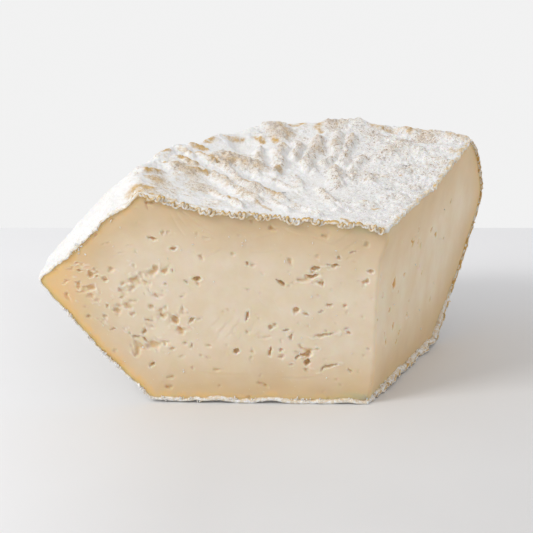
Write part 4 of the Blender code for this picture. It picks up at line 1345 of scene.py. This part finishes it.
# Streak tones of the right cut, lighter and warmer than the front's paste: painted light against its shade
RIGHT_STREAK_PALE_PAINTED_LIGHT = (0.93, 0.78, 0.56)
RIGHT_STREAK_DEEP_PAINTED_LIGHT = (0.86, 0.65, 0.395)
# Painted shade and glow inside the eyes
EYE_PAINTED_SHADE_AND_GLOW = (0.75, 0.47, 0.17)
STONE_DARK = (0.70, 0.69, 0.68)
STONE_LIGHT = (0.76, 0.755, 0.75)
# Stone with painted light on it
STONE_LIT = (0.91, 0.91, 0.915)


def paste_material():
    """Ivory paste that darkens and turns translucent towards the rind, with painted shade and glow in its
    eyes, painted light on the right cut and partly painted highlight on the eyes' rims.
    """
    n = Nodes("paste")
    gap, depth, golden = n.attribute("gap"), n.attribute("depth"), n.attribute("golden")
    on_right = n.attribute("right")
    moved = n.plus(gap, n.times(n.maths("SUBTRACT", n.noise(9.0, 3.0), 0.5), 9.0))
    centre = n.mix(n.range(n.noise(5.0, 4.0), 0.35, 0.7), PASTE_IVORY, PASTE_LIGHT)
    tan = n.mix(n.range(n.noise(7.0, 3.0, scale=(0.35, 1, 1)), 0.45, 0.75), PASTE_TAN, PASTE_BROWN)
    # The right cut's own streaked colour: real streaks, made lighter and warmer as painted light against its
    # shade
    streaky = n.noise(8.0, 4.0, scale=(1, 1, 0.6), turn=(0, 0.25, 0))
    right = n.mix(n.range(streaky, 0.36, 0.68), RIGHT_STREAK_PALE_PAINTED_LIGHT, RIGHT_STREAK_DEEP_PAINTED_LIGHT)
    colour = n.mix(n.times(on_right, 0.7), centre, right)
    colour = n.mix(n.times(n.range(moved, 16.0, 4.0), n.attribute("tan")), colour, tan)
    # Painted light: extra warmth near the rind on the shaded right cut
    colour = n.mix(n.times(on_right, n.range(moved, 20.0, 4.0, 0.0, 0.35)), colour, PASTE_WARM)
    colour = n.mix(n.times(n.attribute("tip"), 0.85), colour, PASTE_WARM)
    edge = n.plus(gap, n.range(n.noise(2.6, 2.0), 0.3, 0.7, -0.5, 0.5))
    colour = n.mix(n.times(n.range(edge, 5.5, 1.5, 0.0, 0.4), golden, True), colour, PASTE_WARM)
    colour = n.mix(n.times(n.range(edge, 2.6, 0.7), golden, True), colour, PASTE_GOLD)
    # Painted shade and glow inside the eyes, stronger where they are deeper
    painted_eye_shade_and_glow = n.times(n.range(depth, 0.25, 0.9, 0.0, 0.8), n.range(n.noise(1.6, 2.0), 0.35, 0.6, 0.3, 1.0))
    # Stronger painted shade in the eyes of the right cut, which lies in shade
    painted_eye_shade_and_glow = n.plus(painted_eye_shade_and_glow, n.times(on_right, n.range(depth, 0.08, 0.4, 0.0, 0.75)), True)
    colour = n.mix(painted_eye_shade_and_glow, colour, EYE_PAINTED_SHADE_AND_GLOW)
    # Paler rims round the eyes: partly their own colour, partly painted highlight
    colour = n.mix(n.times(n.attribute("rim"), 0.45), colour, PASTE_RIM_AND_HIGHLIGHT)
    speck = n.range(n.noise(0.8, 1.0), 0.73, 0.78)
    colour = n.mix(n.times(speck, 0.5), colour, PASTE_LIGHT)
    grain = n.bump(n.noise(1.4, 4.0, 0.65), 0.3, 0.12)
    drag = n.bump(n.noise(1.6, 3.0, scale=(0.12, 1, 1), turn=(0, 0.5, 0)), 0.15, 0.08, grain)
    n.finish(colour, 0.5, drag)
    n.translucent(0.6, (1.0, 0.55, 0.25), 0.0030)
    return n.material


def floor_material():
    """Pale stone with a faint cloudy tone, and painted light towards the left and the back."""
    n = Nodes("floor")
    stone = n.mix(n.range(n.noise(160.0, 3.0), 0.3, 0.7), STONE_DARK, STONE_LIGHT)
    # Painted light: the stone is lit up towards the left and the back
    left = n.range(n.along("X"), -0.02, -0.10, 0.0, 0.8)
    back = n.range(n.along("Y"), -0.03, 0.09, 0.0, 0.9)
    n.finish(n.mix(n.maths("MAXIMUM", left, back), stone, STONE_LIT), 0.6)
    return n.material


# The stage

FLOOR_HALF_WIDTH = 2600
FLOOR_BACK = 139
FLOOR_FRONT = -2600
SKY_TONE = (0.70, 0.70, 0.71)
WALL_TONE = (0.885, 0.885, 0.885)
KEY_POWER = 3.6
KEY_PLACE = (-610.0, -350.0, 600.0)
KEY_SIZE = 330.0
KEY_TARGET = (0.0, 0.0, 30.0)


def add_world():
    """Soft light from above, and a paler wall below the horizon, behind the table."""
    world = bpy.data.worlds.new("studio")
    world.use_nodes = True
    tree = world.node_tree
    coordinates = tree.nodes.new("ShaderNodeTexCoord")
    parts = tree.nodes.new("ShaderNodeSeparateXYZ")
    ramp = tree.nodes.new("ShaderNodeValToRGB")
    ramp.color_ramp.elements[0].position = 0.42
    ramp.color_ramp.elements[0].color = (*WALL_TONE, 1.0)
    ramp.color_ramp.elements[1].position = 0.5
    ramp.color_ramp.elements[1].color = (*SKY_TONE, 1.0)
    height = tree.nodes.new("ShaderNodeMapRange")
    height.inputs["From Min"].default_value = -1.0
    tree.links.new(coordinates.outputs["Generated"], parts.inputs["Vector"])
    tree.links.new(parts.outputs["Z"], height.inputs["Value"])
    tree.links.new(height.outputs["Result"], ramp.inputs["Fac"])
    tree.links.new(ramp.outputs["Color"], tree.nodes["Background"].inputs["Color"])
    bpy.context.scene.world = world


def add_stage():
    """A pale table top with its far edge in view, soft light all round and one softer key."""
    mesh = bpy.data.meshes.new("floor")
    corners = [(-FLOOR_HALF_WIDTH, FLOOR_FRONT), (FLOOR_HALF_WIDTH, FLOOR_FRONT),
               (FLOOR_HALF_WIDTH, FLOOR_BACK), (-FLOOR_HALF_WIDTH, FLOOR_BACK)]
    mesh.from_pydata([(x * MM, y * MM, 0.0) for x, y in corners], [], [(0, 1, 2, 3)])
    floor = bpy.data.objects.new("floor", mesh)
    mesh.materials.append(floor_material())
    bpy.context.scene.collection.objects.link(floor)
    add_world()
    light = bpy.data.lights.new("key", "AREA")
    light.energy = KEY_POWER
    light.size = KEY_SIZE * MM
    lamp = bpy.data.objects.new("key", light)
    lamp.location = Vector(KEY_PLACE) * MM
    lamp.rotation_euler = (Vector(KEY_TARGET) * MM - lamp.location).to_track_quat("-Z", "Y").to_euler()
    bpy.context.scene.collection.objects.link(lamp)


def add_camera():
    """The photograph's viewpoint."""
    data = bpy.data.cameras.new("camera")
    data.lens = CAMERA_LENS
    data.sensor_width = 36.0
    camera = bpy.data.objects.new("camera", data)
    camera.location = Vector(CAMERA_PLACE) * MM
    camera.rotation_euler = Euler((CAMERA_TILT, 0, 0))
    bpy.context.scene.collection.objects.link(camera)
    bpy.context.scene.camera = camera


bpy.context.scene.view_settings.view_transform = "Standard"
add_camera()
add_stage()
rind, lips = add_rind()
frills = add_frills(lips)
crumbs = add_crumbs()
bloom = rind_material()
for piece in (rind, frills, crumbs):
    piece.data.materials.append(bloom)
paste = add_paste()
paste.data.materials.append(paste_material())
for piece, slot in ((rind, "rind"), (frills, "rind"), (crumbs, "rind"), (paste, "paste")):
    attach(piece, "root")
    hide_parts("cheese")
    print(piece.name, sum(len(p.vertices) - 2 for p in piece.data.polygons), "triangles")
